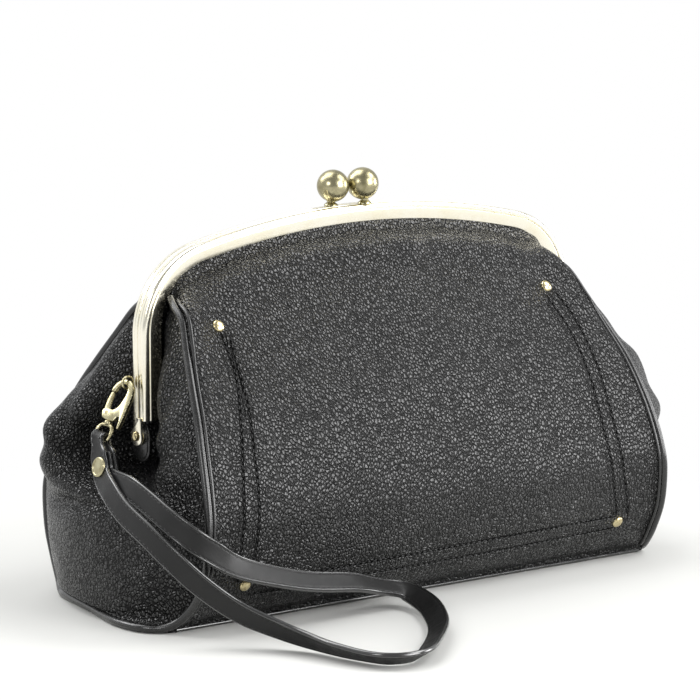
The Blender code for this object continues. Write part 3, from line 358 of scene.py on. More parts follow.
# Leather of the trim: glazed calf, dyed nearly black, for the welts, the straps and the tongues.
def smooth_leather(name, tone, rough, coat, crease=0.35, shine=0.5):
    """Glazed calf with fine pores and a faint drag of the glaze."""
    leather, tree, shader = blank(name)
    place = put(tree, "TexCoord", out="Object")
    pores = put(tree, "TexVoronoi", {"feature": "DISTANCE_TO_EDGE"}, {"Vector": place, "Scale": 1500.0})
    drag = put(tree, "TexNoise", inputs={"Vector": place, "Scale": 260.0, "Detail": 4.0, "Roughness": 0.6})
    cloud = put(tree, "TexNoise", inputs={"Vector": place, "Scale": 45.0, "Detail": 2.0})
    dark, light = (tone * 0.7,) * 3, (tone * 1.3, tone * 1.3, tone * 1.28)
    tree.links.new(mixed_colour(tree, cloud, (*dark, 1), (*light, 1)), shader.inputs["Base Color"])
    tree.links.new(graded(tree, drag, 0.35, 0.7, rough - 0.06, rough + 0.08), shader.inputs["Roughness"])
    first = bumped(tree, shader, graded(tree, pores, 0.0, 0.12), 0.00003, crease)
    bumped(tree, shader, drag, 0.00010, crease, first)
    shader.inputs["Coat Weight"].default_value = coat
    shader.inputs["Coat Roughness"].default_value = 0.22
    shader.inputs["Specular IOR Level"].default_value = shine
    return leather


welt_leather = smooth_leather("welt_leather", 0.007, 0.26, 0.35)
strap_leather = smooth_leather("strap_leather", 0.009, 0.42, 0.03, 0.5, 0.30)
edge_paint = smooth_leather("edge_paint", 0.010, 0.20, 0.60, 0.10, 0.9)


# Hinge rivets: a domed brass head each side of the bag, closed over the tabs, with a small
# leather tongue behind it that keeps the gusset off the metal.
def turned(bm, profile, base, direction, steps=32):
    """A closed form turned from (radius, height) points about the direction, from the base."""
    fresh = bmesh.new()
    verts = [fresh.verts.new((radius, 0, height)) for radius, height in profile]
    edges = [fresh.edges.new(pair) for pair in zip(verts, verts[1:])]
    bmesh.ops.spin(
        fresh, geom=verts + edges, cent=(0, 0, 0), axis=(0, 0, 1), angle=2 * math.pi, steps=steps,
        use_merge=True,
    )
    bmesh.ops.remove_doubles(fresh, verts=fresh.verts, dist=0.000001)
    turn = Vector((0, 0, 1)).rotation_difference(Vector(direction)).to_matrix().to_4x4()
    bmesh.ops.transform(fresh, matrix=Matrix.Translation(Vector(base)) @ turn, verts=fresh.verts)
    bmesh.ops.recalc_face_normals(fresh, faces=fresh.faces)
    mesh = bpy.data.meshes.new("turned")
    fresh.to_mesh(mesh)
    fresh.free()
    bm.from_mesh(mesh)
    bpy.data.meshes.remove(mesh)


def dome(radius, height, rim, steps=8):
    """The profile of a head that rises from a thin rim to a rounded top."""
    points = [(0, 0), (radius, 0), (radius, rim)]
    for k in range(1, steps):
        turn = 0.5 * math.pi * k / steps
        points.append((radius * math.cos(turn) ** 0.9, rim + (height - rim) * math.sin(turn)))
    return points + [(0, height)]


stud_brass = antique_brass("stud_brass", (0.72, 0.63, 0.38), (0.44, 0.36, 0.19), 0.16, 0.32, cloud=300.0)
rivet_shank, shank_length = 0.0011, 0.0036
rivet_forms = [  # profile, place past the leg's outer face, way it faces and steps
    (dome(0.0021, 0.0012, 0.0003), 0.0015, 1, 32),
    ([(0, 0), (rivet_shank, 0), (rivet_shank, shank_length), (0, shank_length)], -0.0020, 1, 16),
    (dome(0.0020, 0.0006, 0.0002), -0.0025, -1, 32),
]
tongue_radius, tongue_drop, tongue_steps = 0.0062, 0.0048, 16
tongue_layers = [  # from and to, in from the leg's outer face, then the rim's rounding and segments
    (0.00225, 0.0014, 0.0003, 3), (0.0015, 0.00105, 0.0002, 2),
]
for end, tag in ((-1, "left"), (1, "right")):
    bm = bmesh.new()
    for profile, past, way, steps in rivet_forms:
        turned(bm, profile, (end * (frame_half_width + past), 0, hinge_height), (way * end, 0, 0), steps)
    finished(bm, tag + "_hinge_rivet_head", stud_brass, 50, "bag", [tag + "_hinge_rivet"])
    points = []
    for start, middle in ((0, hinge_height), (math.pi, hinge_height - tongue_drop)):
        for k in range(tongue_steps + 1):
            turn = start + math.pi * k / tongue_steps
            points.append((tongue_radius * math.cos(turn), middle + tongue_radius * math.sin(turn)))
    bm = bmesh.new()
    place = Matrix(((0, 0, end, 0), (1, 0, 0, 0), (0, 1, 0, 0), (0, 0, 0, 1)))
    middle = hinge_height - tongue_drop / 2
    inner = [(a * 0.80, middle + (b - middle) * 0.86) for a, b in points]
    for outline, (low, high, ease, segments) in zip((points, inner), tongue_layers):
        cut_plate(bm, outline, frame_half_width - low, frame_half_width - high, place, ease, segments)
    finished(bm, tag + "_hinge_tongue", welt_leather, 50, "bag", [tag + "_hinge_patch"])


# Kiss lock: two brass balls on short flared posts, one riveted to each half. They are pressed
# past each other to close the bag.
ball_brass = antique_brass(
    "ball_brass", (0.44, 0.40, 0.25), (0.24, 0.215, 0.12), 0.20, 0.36, (1.0, 0.3, 0.6), 120.0,
)
ball_radius = 0.0069
for tag, seat, centre, body in (
    ("front", (0.00155, -0.0025, 0.16150), (0.00155, -0.00110, 0.16970), "front_frame_half"),
    ("rear", (-0.01255, 0.0025, 0.16129), (-0.01255, 0.00110, 0.16949), "bag"),
):
    bm = bmesh.new()
    bmesh.ops.create_uvsphere(
        bm, u_segments=56, v_segments=36, radius=ball_radius, matrix=Matrix.Translation(centre),
    )
    finished(bm, tag + "_clasp_ball_brass", ball_brass, 60, body, [tag + "_clasp_ball"])
    bm = bmesh.new()
    flare = [
        (0, -0.0003), (0.0030, -0.0003), (0.0029, 0.0002), (0.0022, 0.0007), (0.0017, 0.0012),
        (0.0018, 0.0022), (0, 0.0022),
    ]
    turned(bm, flare, seat, (0, 0, 1))
    finished(bm, tag + "_clasp_post_brass", ball_brass, 50, body, [tag + "_clasp_post"])


# Welts: a cord wrapped in smooth glossy leather is sewn into each seam between a panel and a
# gusset. It starts under the frame, follows the belly down, and turns along the base's end.
upper_seam = [  # half width, half depth and height, from the frame to the belly, in mm
    (92.20, 5.45, 138.28), (98.61, 10.62, 131.40), (103.84, 18.06, 122.55), (107.19, 25.61, 112.53),
    (111.43, 35.45, 99.56), (115.10, 44.72, 86.68), (117.75, 51.45, 73.81), (119.63, 57.00, 60.84),
    (120.86, 60.44, 48.85), (121.60, 61.00, 40.00),
]
lower_seam = [  # share of the way out to the base's corner, then half depth and height in mm
    (0.020, 59.44, 26.0), (0.090, 53.98, 14.0), (0.260, 47.55, 6.0), (0.540, 41.50, 2.2),
]
base_seam = [  # share of the width, half depth in mm, share of this corner's own reach
    (0.985, 34.03, 1.00), (1.000, 19.92, 0.90), (1.000, 6.64, 0.35),
]
frame_seam = [  # the upper seam's first two points where the hide fills the frame's corner
    (100.60, 5.30, 130.40), (102.60, 10.90, 127.30),
]
belly_width, rear_share, upper_rear_share = 0.1216, 0.965, 0.9615
corner_reach = {(-1, -1): 0.1390, (1, -1): 0.1310, (-1, 1): 0.1300, (1, 1): 0.1290}  # by side, then end
piping_radius, piping_height = 0.0017, 0.0020


def through(points, steps):
    """Points along a smooth curve through the given ones, so many steps between each two."""
    points = [Vector(p) for p in points]
    ends = [2 * points[0] - points[1], *points, 2 * points[-1] - points[-2]]
    found = []
    for a, b, c, d in zip(ends, ends[1:], ends[2:], ends[3:]):
        for k in range(steps):
            t = k / steps
            found.append(0.5 * (
                2 * b + (c - a) * t + (2 * a - 5 * b + 4 * c - d) * t**2 + (3 * b - a - 3 * c + d) * t**3
            ))
    return [*found, points[-1]]


def seam_knots(side, end, upper=frame_seam + upper_seam[2:]):
    """The seam's knots from the frame down to the base's corner, in metres out, off the middle and up."""
    share, upper_share = (1.0, 1.0) if side < 0 else (rear_share, upper_rear_share)
    reach, start = corner_reach[side, end], upper_seam[0][1]
    knots = [Vector((x, start + (y - start) * upper_share, z)) * 0.001 for x, y, z in upper]
    for out, y, z in lower_seam:
        knots.append(Vector((belly_width + (reach - belly_width) * out, y * share * 0.001, z * 0.001)))
    return knots


ends_meet = 0.00002


def end_knots(side, end):
    """The base welt's knots from the corner to where both sides meet, in metres likewise."""
    share = 1.0 if side < 0 else rear_share
    middle = 0.5 * (corner_reach[-1, end] + corner_reach[1, end])
    found = [
        Vector(((middle + (corner_reach[side, end] - middle) * own) * wide, y * share * 0.001, piping_height))
        for wide, y, own in base_seam
    ]
    return [*found, Vector((middle, ends_meet, piping_height))]


def directions(points):
    """The unit direction of travel at each point of a line."""
    last = len(points) - 1
    return [(points[min(last, i + 1)] - points[max(0, i - 1)]).normalized() for i in range(last + 1)]


def lofted(bm, section, places, closed=False):
    """A form whose section, as points across and up, is carried through the places."""
    fresh = [bm.verts.new(places[0] @ Vector((a, b, 0))) for a, b in section]
    first = [bm.edges.new(pair) for pair in zip(fresh, fresh[1:] + fresh[:1])]
    edges = first
    for last, place in zip(places, places[1:]):
        made = bmesh.ops.extrude_edge_only(bm, edges=edges)["geom"]
        edges = [g for g in made if isinstance(g, bmesh.types.BMEdge)]
        fresh = [g for g in made if isinstance(g, bmesh.types.BMVert)]
        bmesh.ops.transform(bm, matrix=place @ last.inverted(), verts=fresh)
        kept = set(fresh)
        edges = [e for e in edges if e.verts[0] in kept and e.verts[1] in kept]
    if closed:
        bmesh.ops.bridge_loops(bm, edges=first + edges)
    else:
        bmesh.ops.contextual_create(bm, geom=first)
        bmesh.ops.contextual_create(bm, geom=edges)


def circle(sides, radius):
    return [
        (radius * math.cos(2 * math.pi * k / sides), radius * math.sin(2 * math.pi * k / sides))
        for k in range(sides)
    ]


def set_square(point, across, up, run):
    """The placing of a section at a point: its own two directions and its direction of travel."""
    return Matrix.Translation(point) @ Matrix((across, up, run)).transposed().to_4x4()


def tube(bm, points, radius, sides=14):
    """A tube along the points with closed ends."""
    runs = directions(points)
    normal = runs[0].orthogonal()
    places = []
    for point, run in zip(points, runs):
        normal = (normal - run * normal.dot(run)).normalized()
        places.append(set_square(point, normal.cross(run), normal, run))
    lofted(bm, circle(sides, radius), places)


welts, lower_line, curve_steps = {}, {}, 6
for end, across in ((-1, "left"), (1, "right")):
    for side, along in ((-1, "front"), (1, "rear")):
        knots = seam_knots(side, end)
        lower_line[side, end] = through([knots[-1], *end_knots(side, end)], curve_steps)
        line = through([*knots, *end_knots(side, end)], curve_steps)
        line = [Vector((end * p.x, side * p.y, p.z)) for p in line]
        bm = bmesh.new()
        tube(bm, line, piping_radius)
        welts[side, end] = [
            finished(bm, f"{along}_{across}_welt", welt_leather, 60, None, [f"{along}_{across}_piping"])
        ]


# Panels: front and back are each one piece of pebbled cowhide, drawn up into the frame. The hide
# is full under the frame, rolls over the cord at the seams, and has soft hollows across it.
seam_steps = 10
seam_lines, arch_lines = (
    {key: list(reversed(through(seam_knots(*key, upper), seam_steps))) for key in corner_reach}
    for upper in (frame_seam + upper_seam[2:], upper_seam)
)
seam_width, seam_height, panel_foot, panel_fullness = 0.0922, 0.13828, 0.0430, 0.0030
under_band = 0.0081


def along_line(line, share):
    """The point at a share of the line's steps."""
    spot = max(0.0, min(1.0, share)) * (len(line) - 1)
    i = min(int(spot), len(line) - 2)
    return line[i].lerp(line[i + 1], spot - i)


def arch_height(x, inset):
    """How high the frame's arch is at x, this far in from its outer edge."""
    radius = corner_radius - inset
    if abs(x) > corner_x + radius * math.cos(corner_angle):
        return corner_height + math.sqrt(max(0.0, radius**2 - (abs(x) - corner_x) ** 2))
    return top_centre + math.sqrt((top_radius - inset) ** 2 - x * x)


def eased(low, high, value):
    share = min(1.0, max(0.0, (value - low) / (high - low)))
    return share * share * (3 - 2 * share)


def bulge(value, middle, width):
    return math.exp(-(((value - middle) / width) ** 2))


def panel_edge(line, side):
    foot = panel_foot if side < 0 else panel_foot * rear_share
    line = [p for p in line if p.z > 0.0034]
    line = [Vector((p.x, max(p.y, foot) if p.z < 0.02 else p.y, p.z)) for p in line]
    return [Vector((line[0].x, foot, 0.0004))] + line


panel_edges = {(side, end): panel_edge(line, side) for (side, end), line in seam_lines.items()}
panel_arches = {(side, end): panel_edge(line, side) for (side, end), line in arch_lines.items()}


def panel_point(side, u, v):
    """The panel's outside, from -1 to 1 across and from 0 at its foot to 1 under the frame."""
    left, right = (along_line(panel_arches[side, end], v) for end in (-1, 1))
    share = 0.5 + 0.5 * u
    x = -left.x * (1 - share) + right.x * share
    y, z = left.y * (1 - share) + right.y * share, left.z * (1 - share) + right.z * share
    rise = max(0.0, (z - 0.040) / (seam_height - 0.040))
    lift = (arch_height(seam_width * u, under_band) - arch_height(seam_width, under_band)) * rise**1.5
    full = panel_fullness * (1 - u * u) * math.sin(math.pi * min(1.0, z / seam_height))
    point = Vector((x, side * (y + full), z + lift))
    if v > 0.75 and abs(u) > 0.7:
        end = -1 if u < 0 else 1
        shift = along_line(panel_edges[side, end], v) - along_line(panel_arches[side, end], v)
        point += Vector((end * shift.x, side * shift.y, shift.z)) * eased(0.7, 1.0, abs(u))
    return point


def skin(name, place, columns, rows, thickness, finish, facing, smooth=0):
    """A sheet laid over place(u, v), u from -1 to 1 and v from 0 to 1, its wall on the inside."""
    bm = bmesh.new()
    bmesh.ops.create_grid(bm, x_segments=columns, y_segments=rows, size=1.0)
    for vert in bm.verts:
        vert.co = place(vert.co.x, 0.5 + 0.5 * vert.co.y)
    inside = [v for v in bm.verts if not v.is_boundary]
    for _ in range(smooth):
        bmesh.ops.smooth_vert(bm, verts=inside, factor=0.5, use_axis_x=True, use_axis_y=True, use_axis_z=True)
    if facing < 0:
        bmesh.ops.reverse_faces(bm, faces=bm.faces)
    mesh = bpy.data.meshes.new(name)
    bm.to_mesh(mesh)
    bm.free()
    mesh.shade_smooth()
    mesh.materials.append(finish)
    piece = bpy.data.objects.new(name, mesh)
    bpy.context.scene.collection.objects.link(piece)
    wall = piece.modifiers.new("wall", "SOLIDIFY")
    wall.thickness = thickness
    wall.offset = -1.0
    return piece


def facing_of(place, facing, u, v, nudge=0.004):
    """The outward direction of the surface place(u, v)."""
    along = place(min(1.0, u + nudge), v) - place(max(-1.0, u - nudge), v)
    up = place(u, min(1.0, v + nudge)) - place(u, max(0.0, v - nudge))
    return along.cross(up).normalized() * facing


def with_relief(place, relief, facing):
    """The place moved outwards along its own surface by relief(u, v, point)."""
    def moved(u, v):
        point = place(u, v)
        return point + facing_of(place, facing, u, v) * relief(u, v, point)
    return moved


def pebbled_leather(name, cell, depth, tone, rough, shine):
    """Pebbled cowhide: small rounded grains with hollows between them and a groove at each row, with painted
    shade in the hollows and grooves.
    """
    leather, tree, shader = blank(name)
    place = put(tree, "TexCoord", out="Object")
    wander = put(tree, "TexNoise", inputs={"Vector": place, "Scale": 260.0, "Detail": 2.0}, out="Color")
    wander = put(tree, "VectorMath", {"operation": "SCALE"}, {0: wander, "Scale": cell * 0.7})
    place = put(tree, "VectorMath", {"operation": "ADD"}, {0: place, 1: wander})
    stretched = put(tree, "Mapping", inputs={
        "Vector": place, "Rotation": (0, 0.6, 0), "Scale": (1.15, 1.0, 0.85),
    })
    cells = {"Vector": stretched, "Scale": 1.0 / cell}
    grains = put(tree, "TexVoronoi", {"feature": "F1"}, cells)
    edges = put(tree, "TexVoronoi", {"feature": "DISTANCE_TO_EDGE"}, cells)
    small = put(tree, "TexNoise", inputs={"Vector": stretched, "Scale": 2.6 / cell, "Detail": 1.0})
    valley = graded(tree, edges, 0.0, 0.24)
    domed = put(tree, "Math", {"operation": "MULTIPLY_ADD"}, {0: grains, 1: -0.55, 2: valley})
    height = put(tree, "Math", {"operation": "MULTIPLY_ADD"}, {0: small, 1: 0.35, 2: domed})
    row = put(tree, "Attribute", {"attribute_name": "row_distance"}, out="Fac")
    groove = graded(tree, put(tree, "Math", {"operation": "ABSOLUTE"}, {0: row}), 0.05, 0.9)
    sunk = put(tree, "Math", {"operation": "MULTIPLY_ADD"}, {0: groove, 1: 1.6, 2: height})
    broad = put(tree, "TexNoise", inputs={"Vector": place, "Scale": 38.0, "Detail": 3.0})
    worn = put(tree, "TexNoise", inputs={"Vector": place, "Scale": 90.0, "Detail": 2.0})
    relief = bumped(tree, shader, sunk, depth, 1.0)
    bumped(tree, shader, broad, 0.0010, 0.45, relief)
    # Painted shade: where the grains dip and in the grooves at the rows, the colour falls to 0.3 of the tone
    # and the specular level falls with it.
    shaded = graded(tree, height, -0.1, 0.75, 0.30, 1.0)
    pit_shade = put(tree, "Math", {"operation": "MULTIPLY"}, {0: shaded, 1: groove})
    pit_shaded_specular = put(tree, "Math", {"operation": "MULTIPLY"}, {0: pit_shade, 1: shine})
    tree.links.new(pit_shaded_specular, shader.inputs["Specular IOR Level"])
    dark, light = (tone * 0.3,) * 3, (tone, tone, tone * 0.99)
    tree.links.new(mixed_colour(tree, pit_shade, (*dark, 1), (*light, 1)), shader.inputs["Base Color"])
    gloss = put(tree, "Math", {"operation": "MULTIPLY_ADD"}, {0: worn, 1: 0.16, 2: rough - 0.08})
    both = put(tree, "Math", {"operation": "MULTIPLY_ADD"}, {0: pit_shade, 1: -0.15, 2: gloss})
    tree.links.new(put(tree, "Math", {"operation": "ADD"}, {0: both, 1: 0.15}), shader.inputs["Roughness"])
    return leather


body_leather = pebbled_leather("body_leather", 0.00155, 0.00052, 0.009, 0.25, 0.68)
# The gussets' copy of the panels' hide is painted darker and shines less: painted shade on the bag's ends.
gusset_leather = pebbled_leather("gusset_leather", 0.0015, 0.00056, 0.007, 0.23, 0.54)

# Rows of the front panel's stitched border as x and height in mm, then its studs
border_rows = [
    [(-88.6, 116.5), (-90.1, 101.6), (-95.8, 85.2), (-101.8, 62.7), (-104.4, 40.0), (-104.8, 22.0)],
    [(-85.6, 114.2), (-90.0, 92.0), (-93.6, 74.0), (-95.8, 55.0), (-97.5, 34.0), (-98.2, 22.5)],
    [(83.5, 115.6), (87.5, 103.9), (88.8, 88.0), (89.6, 72.4), (90.4, 53.6), (92.6, 38.0), (96.6, 23.5)],
    [(89.5, 116.5), (93.2, 108.0), (95.2, 92.0), (96.0, 72.0), (97.4, 50.0), (100.3, 34.0), (103.6, 22.5)],
    [(-94.5, 19.6), (-67.4, 19.7), (-11.7, 20.4), (43.6, 21.8), (95.5, 22.0)],
    [(-96.5, 14.0), (-34.9, 14.3), (11.6, 14.7), (53.8, 15.6), (97.0, 16.3)],
]
stud_spots = [(-0.0885, 0.1205), (0.0852, 0.1203), (-0.0999, 0.0182), (0.0999, 0.0182)]
border_lines = [through([(x * 0.001, z * 0.001, 0) for x, z in row], 3) for row in border_rows]


def distance_to(line, x, z, reach=0.003):
    """How far the point is to the left of the line, seen from the front, no further than the reach."""
    spot, nearest = Vector((x, z, 0)), reach
    for a, b in zip(line, line[1:]):
        beside = min(a.x, b.x) - reach < x < max(a.x, b.x) + reach
        if beside and min(a.y, b.y) - reach < z < max(a.y, b.y) + reach:
            run = b - a
            share = max(0.0, min(1.0, (spot - a).dot(run) / run.length_squared))
            away = spot - a - run * share
            if away.length < abs(nearest):
                nearest = math.copysign(away.length, run.x * away.y - run.y * away.x)
    return nearest


def nearest_row(point):
    """The signed distance to the nearest row of stitches."""
    found = [distance_to(line, point.x, point.z) for line in border_lines]
    return min(found, key=abs)


def panel_relief(side):
    """How far the hide stands out: the roll at its edges, soft hollows, and dips at rows and studs."""
    def relief(u, v, point):
        left, right = (along_line(panel_edges[side, end], v) for end in (-1, 1))
        edge = (left.x if u < 0 else right.x) * (1 - abs(u))
        high = eased(0.03, 0.12, point.z)
        below = arch_height(min(0.105, abs(point.x)), under_band) - point.z
        lift = (0.0005 + 0.0013 * high) * eased(0.0, 0.0045, edge) * bulge(edge, 0.0060, 0.0060)
        lift += 0.0014 * bulge(below, 0.0085, 0.0050) - 0.0011 * bulge(below, 0.0015, 0.0028)
        soft = noise.noise(point * 17 + Vector((side, 4, 2))) * 0.0015 + noise.noise(point * 42) * 0.00065
        soft += noise.noise(point * 95 + Vector((3, 1, 7))) * 0.00025
        lift += soft * eased(0.0, 0.012, below) * eased(0.0, 0.006, edge) * eased(0.0, 0.014, point.z)
        if side < 0:
            lift -= 0.00035 * bulge(nearest_row(point), 0.0, 0.0016)
            for x, z in stud_spots:
                apart = math.hypot(point.x - x, point.z - z)
                lift -= 0.0007 * bulge(apart, 0.0, 0.0042)
        return lift
    return relief


tuck_start, tuck_depth, tuck_inset = 0.96, 0.0034, 0.0016


def tucked(side, place):
    """The panel's place with its top edge carried up into the frame's channel."""
    def moved(u, v):
        if v <= tuck_start:
            return place(u, v / tuck_start)
        top = place(u, 1.0)
        share = (v - tuck_start) / (1 - tuck_start)
        x = top.x * (1 - 0.03 * share)
        depth = top.y + (side * tuck_depth - top.y) * eased(0.0, 0.5, share)
        return Vector((x, depth, top.z + (arch_height(x, tuck_inset) - top.z) * share))
    return moved


no_row = 3.0  # mm, past the reach of a groove


def marked(piece, distance):
    """Keeps each point's distance from a row of stitches, in mm, for the leather's grooves."""
    apart = piece.data.attributes.new("row_distance", "FLOAT", "POINT")
    apart.data.foreach_set("value", [distance(vert.co) for vert in piece.data.vertices])


panel_places, panel_pieces, panel_thick = {}, {}, 0.0012
for side, tag, columns, rows in ((-1, "front", 240, 160), (1, "rear", 110, 80)):
    plain = lambda u, v, s=side: panel_point(s, u, v)
    panel_places[side] = with_relief(plain, panel_relief(side), -side)
    place = tucked(side, panel_places[side])
    piece = skin(tag + "_panel_leather", place, columns, rows, panel_thick, body_leather, -side)
    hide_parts(tag + "_panel")
    marked(piece, (lambda point: 1000 * nearest_row(point)) if side < 0 else (lambda point: no_row))
    panel_pieces[side] = piece


# Front border: two rows of waxed black thread, lying in the grooves that they have pulled into
# the hide, and a small domed brass stud where the rows meet at each corner.
def spaced(points, pitch):
    """Spots at an even pitch along a line, each with its direction of travel."""
    found, over = [], pitch * 0.5
    for a, b in zip(points, points[1:]):
        length = (b - a).length
        while over <= length and length > 0:
            found.append((a.lerp(b, over / length), (b - a).normalized()))
            over += pitch
        over -= length
    return found


def sewn(name, spots, finish, length=0.0021, width=0.00055):
    """One stitch at each spot, given as its place, its direction and the way it faces."""
    one = bmesh.new()
    bmesh.ops.create_uvsphere(one, u_segments=6, v_segments=4, radius=1.0)
    shape = [v.co.copy() for v in one.verts]
    sides = [[v.index for v in f.verts] for f in one.faces]
    one.free()
    verts, faces = [], []
    for place, run, normal in spots:
        across = run.cross(normal).normalized()
        axes = Matrix((across * width / 2, normal * width / 2, run * length / 2)).transposed()
        faces += [[len(verts) + i for i in side] for side in sides]
        verts += [place + axes @ point for point in shape]
    mesh = bpy.data.meshes.new(name)
    mesh.from_pydata(verts, [], faces)
    mesh.shade_smooth()
    mesh.materials.append(finish)
    piece = bpy.data.objects.new(name, mesh)
    bpy.context.scene.collection.objects.link(piece)
    return piece


def waxed_thread(name, tone):
    """Three-ply polyester thread, waxed, with its twist as fine slanting ridges."""
    thread, tree, shader = blank(name)
    place = put(tree, "TexCoord", out="Object")
    plies = put(tree, "TexWave", {"bands_direction": "DIAGONAL"}, {
        "Vector": place, "Scale": 900.0, "Distortion": 1.0,
    })
    tree.links.new(
        mixed_colour(tree, plies, (tone * 0.5, tone * 0.5, tone * 0.5, 1), (tone, tone, tone, 1)),
        shader.inputs["Base Color"],
    )
    shader.inputs["Roughness"].default_value = 0.42
    bumped(tree, shader, plies, 0.00003, 0.6)
    return thread


black_thread = waxed_thread("black_thread", 0.010)


def on_panel(x, z):
    """The place on the front panel at this x and height, with the way it faces."""
    low, high = 0.0, 1.0
    for _ in range(22):
        v = 0.5 * (low + high)
        half = along_line(panel_edges[-1, -1 if x < 0 else 1], v).x
        u = max(-1.0, min(1.0, x / half))
        if panel_point(-1, u, v).z < z:
            low = v
        else:
            high = v
    return panel_places[-1](u, v), facing_of(panel_places[-1], 1, u, v)


spots, border_pitch, step_ahead = [], 0.0029, 0.001
for line in border_lines:
    for spot, run in spaced(line, border_pitch):
        place, normal = on_panel(spot.x, spot.y)
        ahead, _ = on_panel(spot.x + run.x * step_ahead, spot.y + run.y * step_ahead)
        spots.append((place, (ahead - place).normalized(), normal))
blended = [sewn("border_stitches", spots, black_thread), panel_pieces[-1]]

stud_nodes = ("upper_left_stud", "upper_right_stud", "lower_left_stud", "lower_right_stud")
stud_radius, stud_height, stud_rim, stud_sink = 0.0027, 0.0015, 0.0002, 0.00005
for (x, z), node in zip(stud_spots, stud_nodes):
    place, normal = on_panel(x, z)
    bm = bmesh.new()
    turned(bm, dome(stud_radius, stud_height, stud_rim), place - normal * stud_sink, normal)
    stud = finished(bm, node + "_head", stud_brass, 50, None, [node])
    if z > 0.06:
        blended.append(stud)
    else:
        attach(stud, "bag")


# Bindings: beside each front welt the hide's folded edge shows as a second, thinner ridge, and a
# fine welt closes the front panel's foot along the base.
binding_points, binding_low, binding_high, binding_inset = 110, 0.035, 0.940, 0.0025
binding_radius, foot_radius, foot_rise = 0.00085, 0.0009, 0.0010
foot_spots = (-0.1255, -0.08, 0.0, 0.08, 0.1225)
for end, tag in ((-1, "left"), (1, "right")):
    line = []
    for k in range(binding_points):
        v = binding_low + (binding_high - binding_low) * k / (binding_points - 1)
        half = along_line(panel_edges[-1, end], v).x
        u = end * (1 - binding_inset / half)
        line.append(panel_places[-1](u, v) + facing_of(panel_places[-1], 1, u, v) * 0.0002)
    bm = bmesh.new()
    tube(bm, line, binding_radius, 12)
    blended.append(finished(bm, f"front_{tag}_binding", welt_leather, 60))

for side, tag in ((-1, "front"), (1, "rear")):
    foot = panel_foot if side < 0 else panel_foot * rear_share
    points = [Vector((x, side * (foot + 0.0002), foot_rise)) for x in foot_spots]
    bm = bmesh.new()
    tube(bm, through(points, 8), foot_radius, 12)
    finished(bm, tag + "_foot_welt", edge_paint, 60, "bag")


# Gussets: an end of the bag is one piece of the same hide. Below the hinge it is full and round,
# and above it a lobe stands out each side of the frame's leg, with a deep fold between the two. It
# is cut in three at the fold.
gusset_reach, lobe, small_lobe, gusset_thick = 0.1395, 0.0260, 0.0120, 0.0010
crease_height, pinch_height, fold_depth, fold_gap, fold_share = 0.0500, 0.0610, 0.0065, 0.0008, 0.24
lobe_shares = [  # height as a share of the way from the pinch to the frame's end, then the lobe's depth
    (0.0, 0.94), (0.18, 0.98), (0.34, 0.80), (0.48, 0.52), (0.65, 0.25), (0.85, 0.08), (1.0, 0.03),
]
fold_shares = [  # place along the fold, then its depth and half its gap
    (0.0, 1.0, 0.0), (0.25, 0.97, 1.1), (0.55, 0.5, 1.7), (0.85, 0.08, 3.2), (1.0, 0.0, 6.6),
]
seam_clear, gusset_foot, gusset_turn, base_half_depth = 0.0006, 0.0026, 0.05, 0.0415


def read_off(table, value, column=1):
    """The column's value in a table of rows that start with a rising value."""
    for low, high in zip(table, table[1:]):
        if value <= high[0]:
            share = max(0.0, (value - low[0]) / (high[0] - low[0]))
            return low[column] + (high[column] - low[column]) * share
    return table[-1][column]


def leg_edge(z, inset):
    """How far out the frame's leg or corner is at a height."""
    if z <= corner_height:
        return frame_half_width - inset
    return corner_x + math.sqrt(max(0.0, (corner_radius - inset) ** 2 - (z - corner_height) ** 2))


def gusset_form(front, rear, s, lobes):
    """The gusset's outside at s, from -1 at the front seam to 1 at the rear one."""
    share = 0.5 + 0.5 * s
    z = front.z * (1 - share) + rear.z * share
    x_seam, y_seam = front.x * (1 - share) + rear.x * share, -front.y * (1 - share) + rear.y * share
    puff = max(0.0, gusset_reach - x_seam)
    low = Vector((x_seam + puff * (1 - s * s) ** (1.2 if s < 0 else 0.8), y_seam, z))
    mouth, way, q = leg_edge(z, leg_band) - seam_clear, -1 if s < 0 else 1, abs(s)
    if q <= fold_share:
        t = q / fold_share
        depth, gap = read_off(fold_shares, t), read_off(fold_shares, t, 2)
        high = Vector((mouth - fold_depth * depth, way * fold_gap * gap, z))
    else:
        t = (q - fold_share) / (1 - fold_share)
        rise = (z - pinch_height) / (seam_height - pinch_height)
        swell = lobes[0 if s < 0 else 1] * read_off(lobe_shares, rise) * math.sin(math.pi * t)
        ending = front if s < 0 else rear
        start = fold_gap * fold_shares[-1][2]
        high = Vector((
            mouth + (ending.x - mouth) * t**0.8 + swell, way * (start + (ending.y - start) * t), z,
        ))
    return low.lerp(high, eased(crease_height, pinch_height, z))


gusset_low, gusset_high = 0.0056, 0.1290


def gusset_place(end, lobes):
    """The gusset from its turned-in foot, at 0 up, to its mouth in the frame."""
    lines = {side: [p for p in seam_lines[side, end] if gusset_low < p.z < gusset_high] for side in (-1, 1)}
    outer = {side: sorted((p.y, p.x) for p in lower_line[side, end]) for side in (-1, 1)}

    def place(u, v):
        up = max(0.0, (v - gusset_turn) / (1 - gusset_turn))
        front, rear = (along_line(lines[side], up) for side in (-1, 1))
        front = Vector((front.x, front.y - seam_clear, front.z))
        rear = Vector((rear.x, rear.y - seam_clear, rear.z))
        point = gusset_form(front, rear, u, lobes)
        if v < gusset_turn:
            side = -1 if u < 0 else 1
            y = (base_half_depth * (1.0 if u < 0 else rear_share) - 0.0010) * u
            foot = Vector((read_off(outer[side], abs(y)) - 0.0008, y, gusset_foot))
            point = foot.lerp(point, eased(-gusset_turn, gusset_turn, v) * 2 - 1 if v > 0 else 0.0)
        return Vector((end * point.x, point.y, point.z))
    return place


